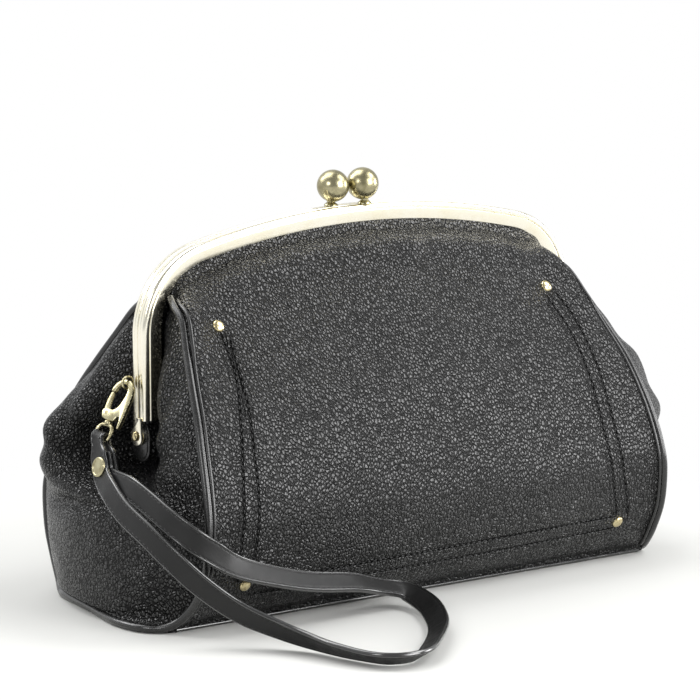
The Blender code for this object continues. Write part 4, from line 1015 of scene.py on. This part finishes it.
gusset_forms = [  # place to the back and height, then how wide and high the form is and how far out, in mm
    (12, 69, 11, 9, -6.5), (27, 84, 5, 20, -3.6), (-11, 55, 9, 6, -3.2), (-36, 60, 9, 10, 2.2),
    (-24, 84, 4, 18, -2.0), (36, 74, 7, 14, 1.2), (10, 98, 7, 12, 1.8),
]


fan_height = 0.060


def gusset_relief(end):
    """How far the hide stands out: a roll over a hollow at the hinge, the forms, and small creases."""
    def relief(u, v, point):
        side = 1 - abs(u)
        rim = eased(0.0, 0.10, side)
        swayed = point.z + 0.0020 * math.sin(point.y * 70 + end)
        roll = 0.0036 * bulge(swayed, 0.0555, 0.0040) - 0.0042 * bulge(swayed, 0.0460, 0.0036)
        lift = roll * eased(0.0, 0.7, side) * (0.35 if point.y < -0.012 else 1.0)
        for y, z, wide, high, out in gusset_forms:
            apart = ((1000 * point.y - y) / wide) ** 2 + ((1000 * point.z - z) / high) ** 2
            lift += 0.001 * out * math.exp(-apart) * rim
        over = point.z - fan_height
        reach, turn = math.hypot(point.y, over), math.atan2(point.y, over)
        fan = math.sin(turn * 12 + 2.6 * noise.noise(point * 34)) * 0.0010
        fan *= eased(0.010, 0.022, reach) * (1 - eased(0.034, 0.062, reach))
        lift += fan * eased(0.05, 0.062, point.z)
        soft = noise.noise(point * 24 + Vector((0, 2 * end, 5))) * 0.0018 + noise.noise(point * 60) * 0.0008
        return (lift + soft * rim * eased(0.0, 0.10, v)) * eased(0.0, 0.05, v)
    return relief


blended_fold, fold_half = [], 0.0053


def parted(piece, node):
    """The piece cut in three along its fold: its front, the fold, and its rear, which stays with the bag."""
    found = []
    for tag, limits in (
        ("front", [(-fold_half, 1)]),
        ("fold", [(-fold_half, -1), (fold_half, 1)]),
        ("rear", [(fold_half, -1)]),
    ):
        bm = bmesh.new()
        bm.from_mesh(piece.data)
        for limit, way in limits:
            bmesh.ops.bisect_plane(
                bm, geom=bm.verts[:] + bm.edges[:] + bm.faces[:], dist=0.0000001, plane_co=(0, limit, 0),
                plane_no=(0, way, 0), clear_outer=True,
            )
        part = piece.copy()
        part.data = piece.data.copy()
        part.name = f"{piece.name}_{tag}"
        bm.to_mesh(part.data)
        bm.free()
        bpy.context.scene.collection.objects.link(part)
        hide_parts(node)
        found.append(part)
    bpy.data.objects.remove(piece)
    blended.append(found[0])
    blended_fold.append(found[1])
    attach(found[2], "bag")


for end, tag, lobes in ((-1, "left", (small_lobe, lobe)), (1, "right", (lobe, lobe))):
    place = with_relief(gusset_place(end, lobes), gusset_relief(end), end)
    # The gusset is made of the hide's darker copy, which carries painted shade.
    piece = skin(tag + "_gusset_leather", place, 120, 100, gusset_thick, gusset_leather, end, 4)
    marked(piece, lambda point: no_row)
    parted(piece, tag + "_gusset")


# Base: a stiff sole of smooth leather inside the welts, over a board that holds it flat. A row of
# heavier stitches shows where the gusset is sewn down along each end.
sole_low, sole_high, sole_inset, sole_rim = 0.0001, 0.0017, 0.0014, 0.0004
base_pitch, base_stitch, base_thread, base_row = 0.0034, 0.0026, 0.0007, 0.0044
outline = []
for end, order in ((-1, (1, -1)), (1, (-1, 1))):
    for i, side in enumerate(order):
        stretch = [(end * (p.x - sole_inset), side * p.y) for p in lower_line[side, end]]
        outline += stretch if i == 0 else list(reversed(stretch))[1:]
bm = bmesh.new()
cut_plate(bm, outline, sole_low, sole_high, Matrix.Identity(4), sole_rim, 2)
finished(bm, "base_sole", strap_leather, 50, "bag", ["base_panel"])
spots = []
for (side, end), line in lower_line.items():
    points = [Vector((end * (p.x + 0.0003), side * p.y, base_row)) for p in line]
    out = Vector((end, 0, 0.9)).normalized()
    spots += [(spot, run, out) for spot, run in spaced(points, base_pitch)]
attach(sewn("base_stitches", spots, black_thread, base_stitch, base_thread), "bag")
board, tree, shader = blank("grey_board")
place = put(tree, "TexCoord", out="Object")
fibre = put(tree, "TexNoise", inputs={"Vector": place, "Scale": 500.0, "Detail": 6.0})
pulp = mixed_colour(tree, fibre, (0.22, 0.20, 0.16, 1), (0.36, 0.33, 0.28, 1))
tree.links.new(pulp, shader.inputs["Base Color"])
shader.inputs["Roughness"].default_value = 0.9
for node in ("base_board", "front_frame_cord", "rear_frame_cord"):
    bpy.data.objects[node].data.materials.clear()
    bpy.data.objects[node].data.materials.append(board)


# Lining: a dark twill bag hangs inside, in a front, a back and two sides, with an open slip
# pocket on the back. It folds in with the gussets and is glued into the frame's channels.
cloth, tree, shader = blank("lining_twill")
place = put(tree, "TexCoord", out="Object")
wale = put(tree, "TexWave", {"bands_direction": "DIAGONAL"}, {
    "Vector": place, "Scale": 420.0, "Distortion": 0.4,
})
slub = put(tree, "TexNoise", inputs={"Vector": place, "Scale": 700.0, "Detail": 4.0})
weave = put(tree, "Math", {"operation": "MULTIPLY_ADD"}, {0: slub, 1: 0.5, 2: wale})
dyed = mixed_colour(tree, weave, (0.020, 0.018, 0.017, 1), (0.060, 0.054, 0.050, 1))
tree.links.new(dyed, shader.inputs["Base Color"])
shader.inputs["Roughness"].default_value = 0.85
shader.inputs["Sheen Weight"].default_value = 0.2
bumped(tree, shader, weave, 0.00008, 0.6)
cloth_thick, lining_half, lining_floor, lining_back, side_back = 0.0006, 0.1180, 0.0047, 0.0024, 0.0036
lining_seam, middle_gap, lining_low, lining_high = 0.0012, 0.0003, 0.0080, 0.1280
lining_feet = {-1: 0.0391, 1: 0.0376}
floor_end, wall_start, glue_start, glue_depth, glue_inset = 0.2, 0.24, 0.93, 0.0018, 0.0045


def lining_width(z):
    """Half the lining's width: full below, and drawn in inside the gusset's fold above."""
    high = leg_edge(z, leg_band) - fold_depth - side_back
    return lining_half + (high - lining_half) * eased(crease_height - 2 * fold_depth, crease_height, z)


def lining_place(side):
    """A half of the lining, from the floor's middle seam up the wall and over into the channel."""
    line = [p for p in seam_lines[side, -1] if lining_low < p.z < lining_high]
    foot = lining_feet[side]

    def place(u, v):
        if v < floor_end:
            half = lining_width(lining_floor) - lining_seam
            y = side * (middle_gap + (foot - middle_gap) * v / floor_end)
            return Vector((half * u, y, lining_floor))
        p = along_line(line, (v - wall_start) / (1 - wall_start))
        half = lining_width(p.z) - lining_seam
        rise = max(0.0, (p.z - 0.040) / (seam_height - 0.040))
        lift = (arch_height(seam_width * u, under_band) - arch_height(seam_width, under_band)) * rise**1.5
        point = Vector((half * u, side * (p.y - lining_back), p.z + lift))
        if v < wall_start:
            low = Vector((half * u, side * foot, lining_floor))
            return low.lerp(point, (v - floor_end) / (wall_start - floor_end))
        sag = noise.noise(point * 40) * 0.0007 - 0.0004
        return point + Vector((0, side * sag, 0))

    def moved(u, v):
        if v <= glue_start:
            return place(u, v / glue_start)
        top, share = place(u, 1.0), (v - glue_start) / (1 - glue_start)
        return Vector((
            top.x, top.y + (side * glue_depth - top.y) * eased(0.0, 0.8, share),
            top.z + (arch_height(top.x, glue_inset) - top.z) * share,
        ))
    return moved


for side, tag in ((-1, "front"), (1, "rear")):
    piece = skin(tag + "_lining_cloth", lining_place(side), 70, 90, cloth_thick, cloth, -side)
    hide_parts(tag + "_lining")
    if side < 0:
        blended.append(piece)
    else:
        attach(piece, "bag")

side_low, side_high = 0.0140, 0.1230
for end, tag in ((-1, "left"), (1, "right")):
    lines = [[p for p in seam_lines[side, -1] if side_low < p.z < side_high] for side in (-1, 1)]

    def side_place(u, v, end=end, lines=lines):
        front, rear = (along_line(line, v) for line in lines)
        share = 0.5 + 0.5 * u
        y = -(front.y - side_back) * (1 - share) + (rear.y - side_back) * share
        fold = 0.0008 * math.cos(math.pi * u * 3) * eased(0.04, 0.09, front.z)
        return Vector((end * (lining_width(front.z) + fold), y, front.z))

    piece = skin(tag + "_side_lining_cloth", side_place, 40, 50, cloth_thick, cloth, end)
    parted(piece, tag + "_side_lining")

pocket_half, pocket_low, pocket_high, pocket_sag = 0.0600, 0.0300, 0.0850, 0.0010
pocket_line = [p for p in seam_lines[1, -1] if pocket_low <= p.z <= pocket_high]


def pocket_place(u, v):
    wall = along_line(pocket_line, v)
    return Vector((pocket_half * u, wall.y - side_back - pocket_sag * v * (1 - u * u), wall.z))


piece = skin("slip_pocket_cloth", pocket_place, 40, 24, cloth_thick, cloth, -1)
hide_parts("slip_pocket")
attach(piece, "bag")


# Clip: a small ring of round wire on the frame's leg carries a cast snap hook, with a sprung gate on
# a pin through its foot. A swivel eye turns in the foot and holds the strap.
clip_brass = antique_brass("clip_brass", (0.52, 0.48, 0.31), (0.32, 0.28, 0.16), 0.20, 0.34, cloud=260.0)
ring_radius, ring_hole, ring_wire = 0.0031, 0.0020, 0.0012
ring_centre = Vector((-frame_half_width - 0.0003 - ring_radius, channel_depth / 2, 0.0957))
clip_pivot = ring_centre - Vector((0, 0, 0.0001))
clip_lean, clip_yaw, clip_turn = math.radians(33), math.radians(2), math.radians(17)
clip_side = math.sin(clip_lean)
clip_down = Vector((-clip_side * math.cos(clip_yaw), -clip_side * math.sin(clip_yaw), -math.cos(clip_lean)))
clip_level = Vector((math.sin(clip_turn), -math.cos(clip_turn), 0))
clip_across = (clip_level - clip_down * clip_level.dot(clip_down)).normalized()
clip_out = clip_down.cross(clip_across)
clip_axes = Matrix((clip_across, clip_down, clip_out)).transposed().to_4x4()
clip_place = Matrix.Translation(clip_pivot) @ clip_axes
clip_length, clip_half, clip_thick, gate_thick = 0.0176, 0.0056, 0.0020, 0.0013
hook_shares = [  # across, as a share of half the clip's width, and down, as a share of its length
    (-0.96, 0.31), (-0.93, 0.16), (-0.72, 0.04), (-0.36, -0.045), (0.0, -0.065), (0.40, -0.04), (0.80, 0.07),
    (1.03, 0.24), (1.12, 0.46), (1.16, 0.68), (1.20, 0.88), (1.20, 1.11), (1.02, 1.12), (0.94, 0.96),
    (0.80, 0.86), (0.64, 0.86), (0.54, 0.92), (0.42, 0.985), (0.0, 1.0), (-0.44, 0.985),
    (-0.74, 0.95), (-0.95, 0.82), (-0.80, 0.735), (-0.50, 0.72), (-0.06, 0.72), (0.24, 0.64), (0.42, 0.48),
    (0.48, 0.30), (0.36, 0.13), (0.0, 0.055), (-0.36, 0.10), (-0.56, 0.20), (-0.66, 0.30),
]
gate_shares = [
    (-0.94, 0.33), (-0.67, 0.33), (-0.60, 0.50), (-0.48, 0.66), (-0.27, 0.76), (-0.25, 0.86), (-0.42, 0.92),
    (-0.66, 0.91), (-0.87, 0.75), (-0.98, 0.52),
]


def ringed(points, steps=5):
    """Points along a smooth closed curve through the given ones."""
    return through([points[-1], *points, points[0], points[1]], steps)[steps:-2 * steps]


def looped(shares):
    """A smooth closed outline through the points, in the clip's own plane."""
    return [(p.x, p.y) for p in ringed([Vector((a * clip_half, b * clip_length, 0)) for a, b in shares])]


wire, ring_steps, wire_sides = (ring_radius - ring_hole) / 2, 40, 14
bm = bmesh.new()
turns = []
for k in range(ring_steps):
    turn = 2 * math.pi * k / ring_steps
    out, up = Vector((math.cos(turn), 0, math.sin(turn))), Vector((0, 1, 0))
    turns.append(set_square(
        ring_centre + out * (ring_radius - wire), out * wire, up * ring_wire / 2, out.cross(up),
    ))
lofted(bm, circle(wire_sides, 1.0), turns, closed=True)
finished(bm, "strap_ring_wire", clip_brass, 60, "bag", ["strap_ring"])

for name, body, shares, thick, ease in (
    ("hook", "hook", hook_shares, clip_thick, 0.00042), ("gate", "gate", gate_shares, gate_thick, 0.0003),
):
    bm = bmesh.new()
    cut_plate(bm, looped(shares), -thick / 2, thick / 2, clip_place, ease, 3)
    finished(bm, f"snap_{name}_casting", clip_brass, 50, body, ["snap_" + name])
pin_rim, pin_radius, pin_length, pin_ease = 0.0006, 0.0007, 0.0024, 0.0002
pin = [
    (0, 0), (pin_rim, 0), (pin_radius, pin_ease), (pin_radius, pin_length - pin_ease), (pin_rim, pin_length),
    (0, pin_length),
]
bm = bmesh.new()
turned(bm, pin, clip_place @ Vector((-0.50 * clip_half, 0.83 * clip_length, -pin_length / 2)), clip_out, 20)
finished(bm, "gate_pin_rivet", stud_brass, 40, "hook", ["gate_pin"])

eye_wire, eye_half, eye_high, neck = 0.0008, 0.0047, 0.0078, clip_length + 0.0003
eye_low, eye_top = neck + eye_high, neck + 2 * eye_wire
eye_shares = [(0.0, 0.0), (0.55, 0.02), (0.90, 0.25), (1.0, 0.60), (0.95, 0.90), (0.75, 1.0), (0.0, 1.0)]
eye_shares += [(-a, b) for a, b in reversed(eye_shares[1:-1])]
ring = ringed([
    Vector((a * (eye_half - eye_wire), eye_top + b * (eye_low - eye_top), 0)) for a, b in eye_shares
])
turns, out = [], Vector((0, 0, 1))
for i, point in enumerate(ring):
    run = (ring[(i + 1) % len(ring)] - ring[i - 1]).normalized()
    turns.append(clip_place @ set_square(point, run.cross(out), out, run))
bm = bmesh.new()
lofted(bm, circle(wire_sides, eye_wire), turns, closed=True)
collar = [(0, 0), (0.0015, 0), (0.0018, 0.0004), (0.0017, 0.0010), (0.0011, 0.0018), (0, 0.0020)]
turned(bm, collar, clip_place @ Vector((0, neck, 0)), clip_down, 24)
finished(bm, "swivel_eye_casting", clip_brass, 60, "strap", ["swivel_eye"])


# Wrist strap: two layers of smooth leather sewn back to back along both edges. Its ends are folded
# round the eye and held by one flat brass rivet, and the loop lies on the floor before the bag.
strap_width, strap_neck, strap_thick, strap_drop, strap_inset = 0.0098, 0.0060, 0.0020, 0.1500, 0.0082
tab_run, tab_rivet, layer_gap, fold_steps = 0.0180, 0.0135, 0.0003, 5
strap_shares = [  # out, forward and up, in drops and the eye's heights, then the face's heading and lean
    (-0.057, 0.127, 0.760, 178, -16), (-0.067, 0.211, 0.672, 181, -12), (-0.061, 0.321, 0.574, 191, -8),
    (-0.041, 0.411, 0.461, 204, -2), (0.004, 0.481, 0.332, 210, 5), (0.071, 0.551, 0.204, 211, 15),
    (0.144, 0.637, 0.117, 205, 28), (0.189, 0.717, 0.073, 198, 38), (0.213, 0.837, 0.058, 200, 50),
    (0.257, 0.951, 0.053, 232, 57), (0.351, 0.972, 0.053, 281, 57), (0.462, 0.885, 0.053, 313, 57),
    (0.579, 0.764, 0.053, 320, 56), (0.662, 0.644, 0.054, 328, 58), (0.717, 0.531, 0.062, 352, 60),
    (0.717, 0.441, 0.095, 408, 61), (0.624, 0.434, 0.147, 450, 58), (0.534, 0.447, 0.199, 452, 51),
    (0.373, 0.451, 0.251, 450, 47), (0.215, 0.453, 0.341, 449, 38), (0.124, 0.457, 0.412, 444, 26),
    (0.057, 0.461, 0.495, 424, 17), (0.001, 0.437, 0.583, 395, 14), (-0.029, 0.371, 0.669, 373, 14),
    (-0.037, 0.277, 0.746, 364, 16), (-0.038, 0.191, 0.795, 359, 18),
]
bar = clip_place @ Vector((0, eye_low, 0))
hang = min(bar.x, strap_inset - gusset_reach)
tab = Vector((-0.200, -0.560, -0.800)).normalized() * tab_run + Vector((hang - bar.x, 0, 0))
tab_down = tab.normalized()
tab_out = Vector((-0.959, 0.0, 0.242))
tab_out = (tab_out - tab_down * tab_out.dot(tab_down)).normalized()
fold_down = (tab_down - clip_across * tab_down.dot(clip_across)).normalized()
fold_out = tab_out - clip_across * tab_out.dot(clip_across)
fold_out = (fold_out - fold_down * fold_out.dot(fold_down)).normalized()
layer = strap_thick + layer_gap
tab_shares = (0.42, 0.72, 1.0)
stations = [(bar + tab * share - tab_out * layer, -tab_out) for share in reversed(tab_shares)]
for k in range(fold_steps + 1):
    turn = math.pi * k / fold_steps
    aim = -fold_out * math.cos(turn) - fold_down * math.sin(turn)
    stations.append((bar + aim * (eye_wire + layer_gap + strap_thick / 2), aim))
stations += [(bar + tab * share + tab_out * layer, tab_out) for share in tab_shares]
for x, y, z, heading, lean in strap_shares:
    heading, lean = math.radians(heading), math.radians(lean)
    face = Vector((math.cos(heading) * math.cos(lean), math.sin(heading) * math.cos(lean), -math.sin(lean)))
    stations.append((Vector((hang + x * strap_drop, bar.y - y * strap_drop, z * bar.z)), face))
stations += [(bar + tab * share, -tab_out) for share in (1.0, 0.75, 0.45)]

strap_steps = 8
line = through([place for place, _ in stations], strap_steps)
faces = through([face for _, face in stations], strap_steps)
turns, strap_frames = [], []
for point, run, face in zip(line, directions(line), faces):
    face = (face - run * face.dot(run)).normalized()
    share = eased(tab_run * 0.2, tab_run * 0.5, (point - bar).length)
    half = 0.5 * (strap_neck + (strap_width - strap_neck) * share)
    across = face.cross(run)
    strap_frames.append((point, face, across, half))
    turns.append(set_square(point, across * half, face * strap_thick / 2, run))
quarter = [  # shares of half the width and of half the thickness, with a groove for the stitches
    (0.0, 0.97), (0.40, 0.97), (0.60, 1.0), (0.69, 0.97), (0.73, 0.86), (0.77, 0.97), (0.88, 1.0),
    (0.95, 0.92), (0.99, 0.66), (1.0, 0.36), (0.992, 0.10), (0.978, 0.0),
]
section = quarter + [(a, -b) for a, b in reversed(quarter[:-1])]
section += [(-a, b) for a, b in reversed(section[1:-1])]
bm = bmesh.new()
lofted(bm, section, turns)
finished(bm, "wrist_strap_leather", strap_leather, 60, "strap", ["wrist_strap"])

bm = bmesh.new()
bead_inset, bead_wide, bead_high, groove_share = 0.00055, 0.64, 1.07, 0.73
for way in (-1, 1):
    rim = [point + across * ((half - bead_inset) * way) for point, _, across, half in strap_frames]
    places = []
    for point, run, (_, normal, _, _) in zip(rim, directions(rim), strap_frames):
        normal = (normal - run * normal.dot(run)).normalized()
        places.append(set_square(point, normal.cross(run), normal, run))
    lofted(bm, [(a * bead_wide, b * bead_high) for a, b in circle(12, strap_thick / 2)], places)
finished(bm, "strap_edge_paint", edge_paint, 60, "strap")

spots, strap_pitch, strap_stitch, strap_thread, sunk = [], 0.0026, 0.0019, 0.00050, strap_thick / 2 * 0.88
for way, up in ((-1, -1), (-1, 1), (1, -1), (1, 1)):
    edge = [p + a * (half * groove_share * way) + f * (sunk * up) for p, f, a, half in strap_frames]
    over = 0.0012
    for (_, face, _, _), a, b in zip(strap_frames, edge, edge[1:]):
        length = (b - a).length
        if over < length:
            spots.append((a.lerp(b, over / length), (b - a).normalized(), face * up))
            over += strap_pitch
        over -= length
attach(sewn("strap_stitches", spots, black_thread, strap_stitch, strap_thread), "strap")

seat, high = bar + tab_down * tab_rivet, layer + strap_thick / 2 + 0.0001
head = [
    (0, 0), (0.0042, 0), (0.0042, 0.0004), (0.0040, 0.0007), (0.0036, 0.00085), (0.0033, 0.0008),
    (0.0031, 0.0006), (0.0020, 0.0007), (0, 0.0008),
]
back = [(0, 0), (0.0031, 0), (0.0031, 0.0005), (0.0025, 0.0007), (0, 0.0007)]
shank = [(0, 0), (0.0010, 0), (0.0010, 2 * high), (0, 2 * high)]
bm = bmesh.new()
for profile, up, way, steps in ((head, 1, 1, 48), (back, -1, -1, 40), (shank, -1, 1, 16)):
    turned(bm, profile, seat + tab_out * (high * up), tab_out * way, steps)
finished(bm, "strap_rivet_heads", clip_brass, 45, "strap", ["strap_rivet"])


# Joints: the rear welts and the rear panel stay with the bag's body, the rear half of the frame.
# The front pieces and the pieces at the folds have their placing applied to their meshes.
for end in (-1, 1):
    blended += welts[-1, end]
    for piece in welts[1, end]:
        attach(piece, "bag")
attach(panel_pieces[1], "bag")
for piece in blended:
    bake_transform(piece)
for piece in blended_fold:
    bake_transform(piece)

size = {"cad": [list(c) for c in cad_box], "visual": [list(c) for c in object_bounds()]}
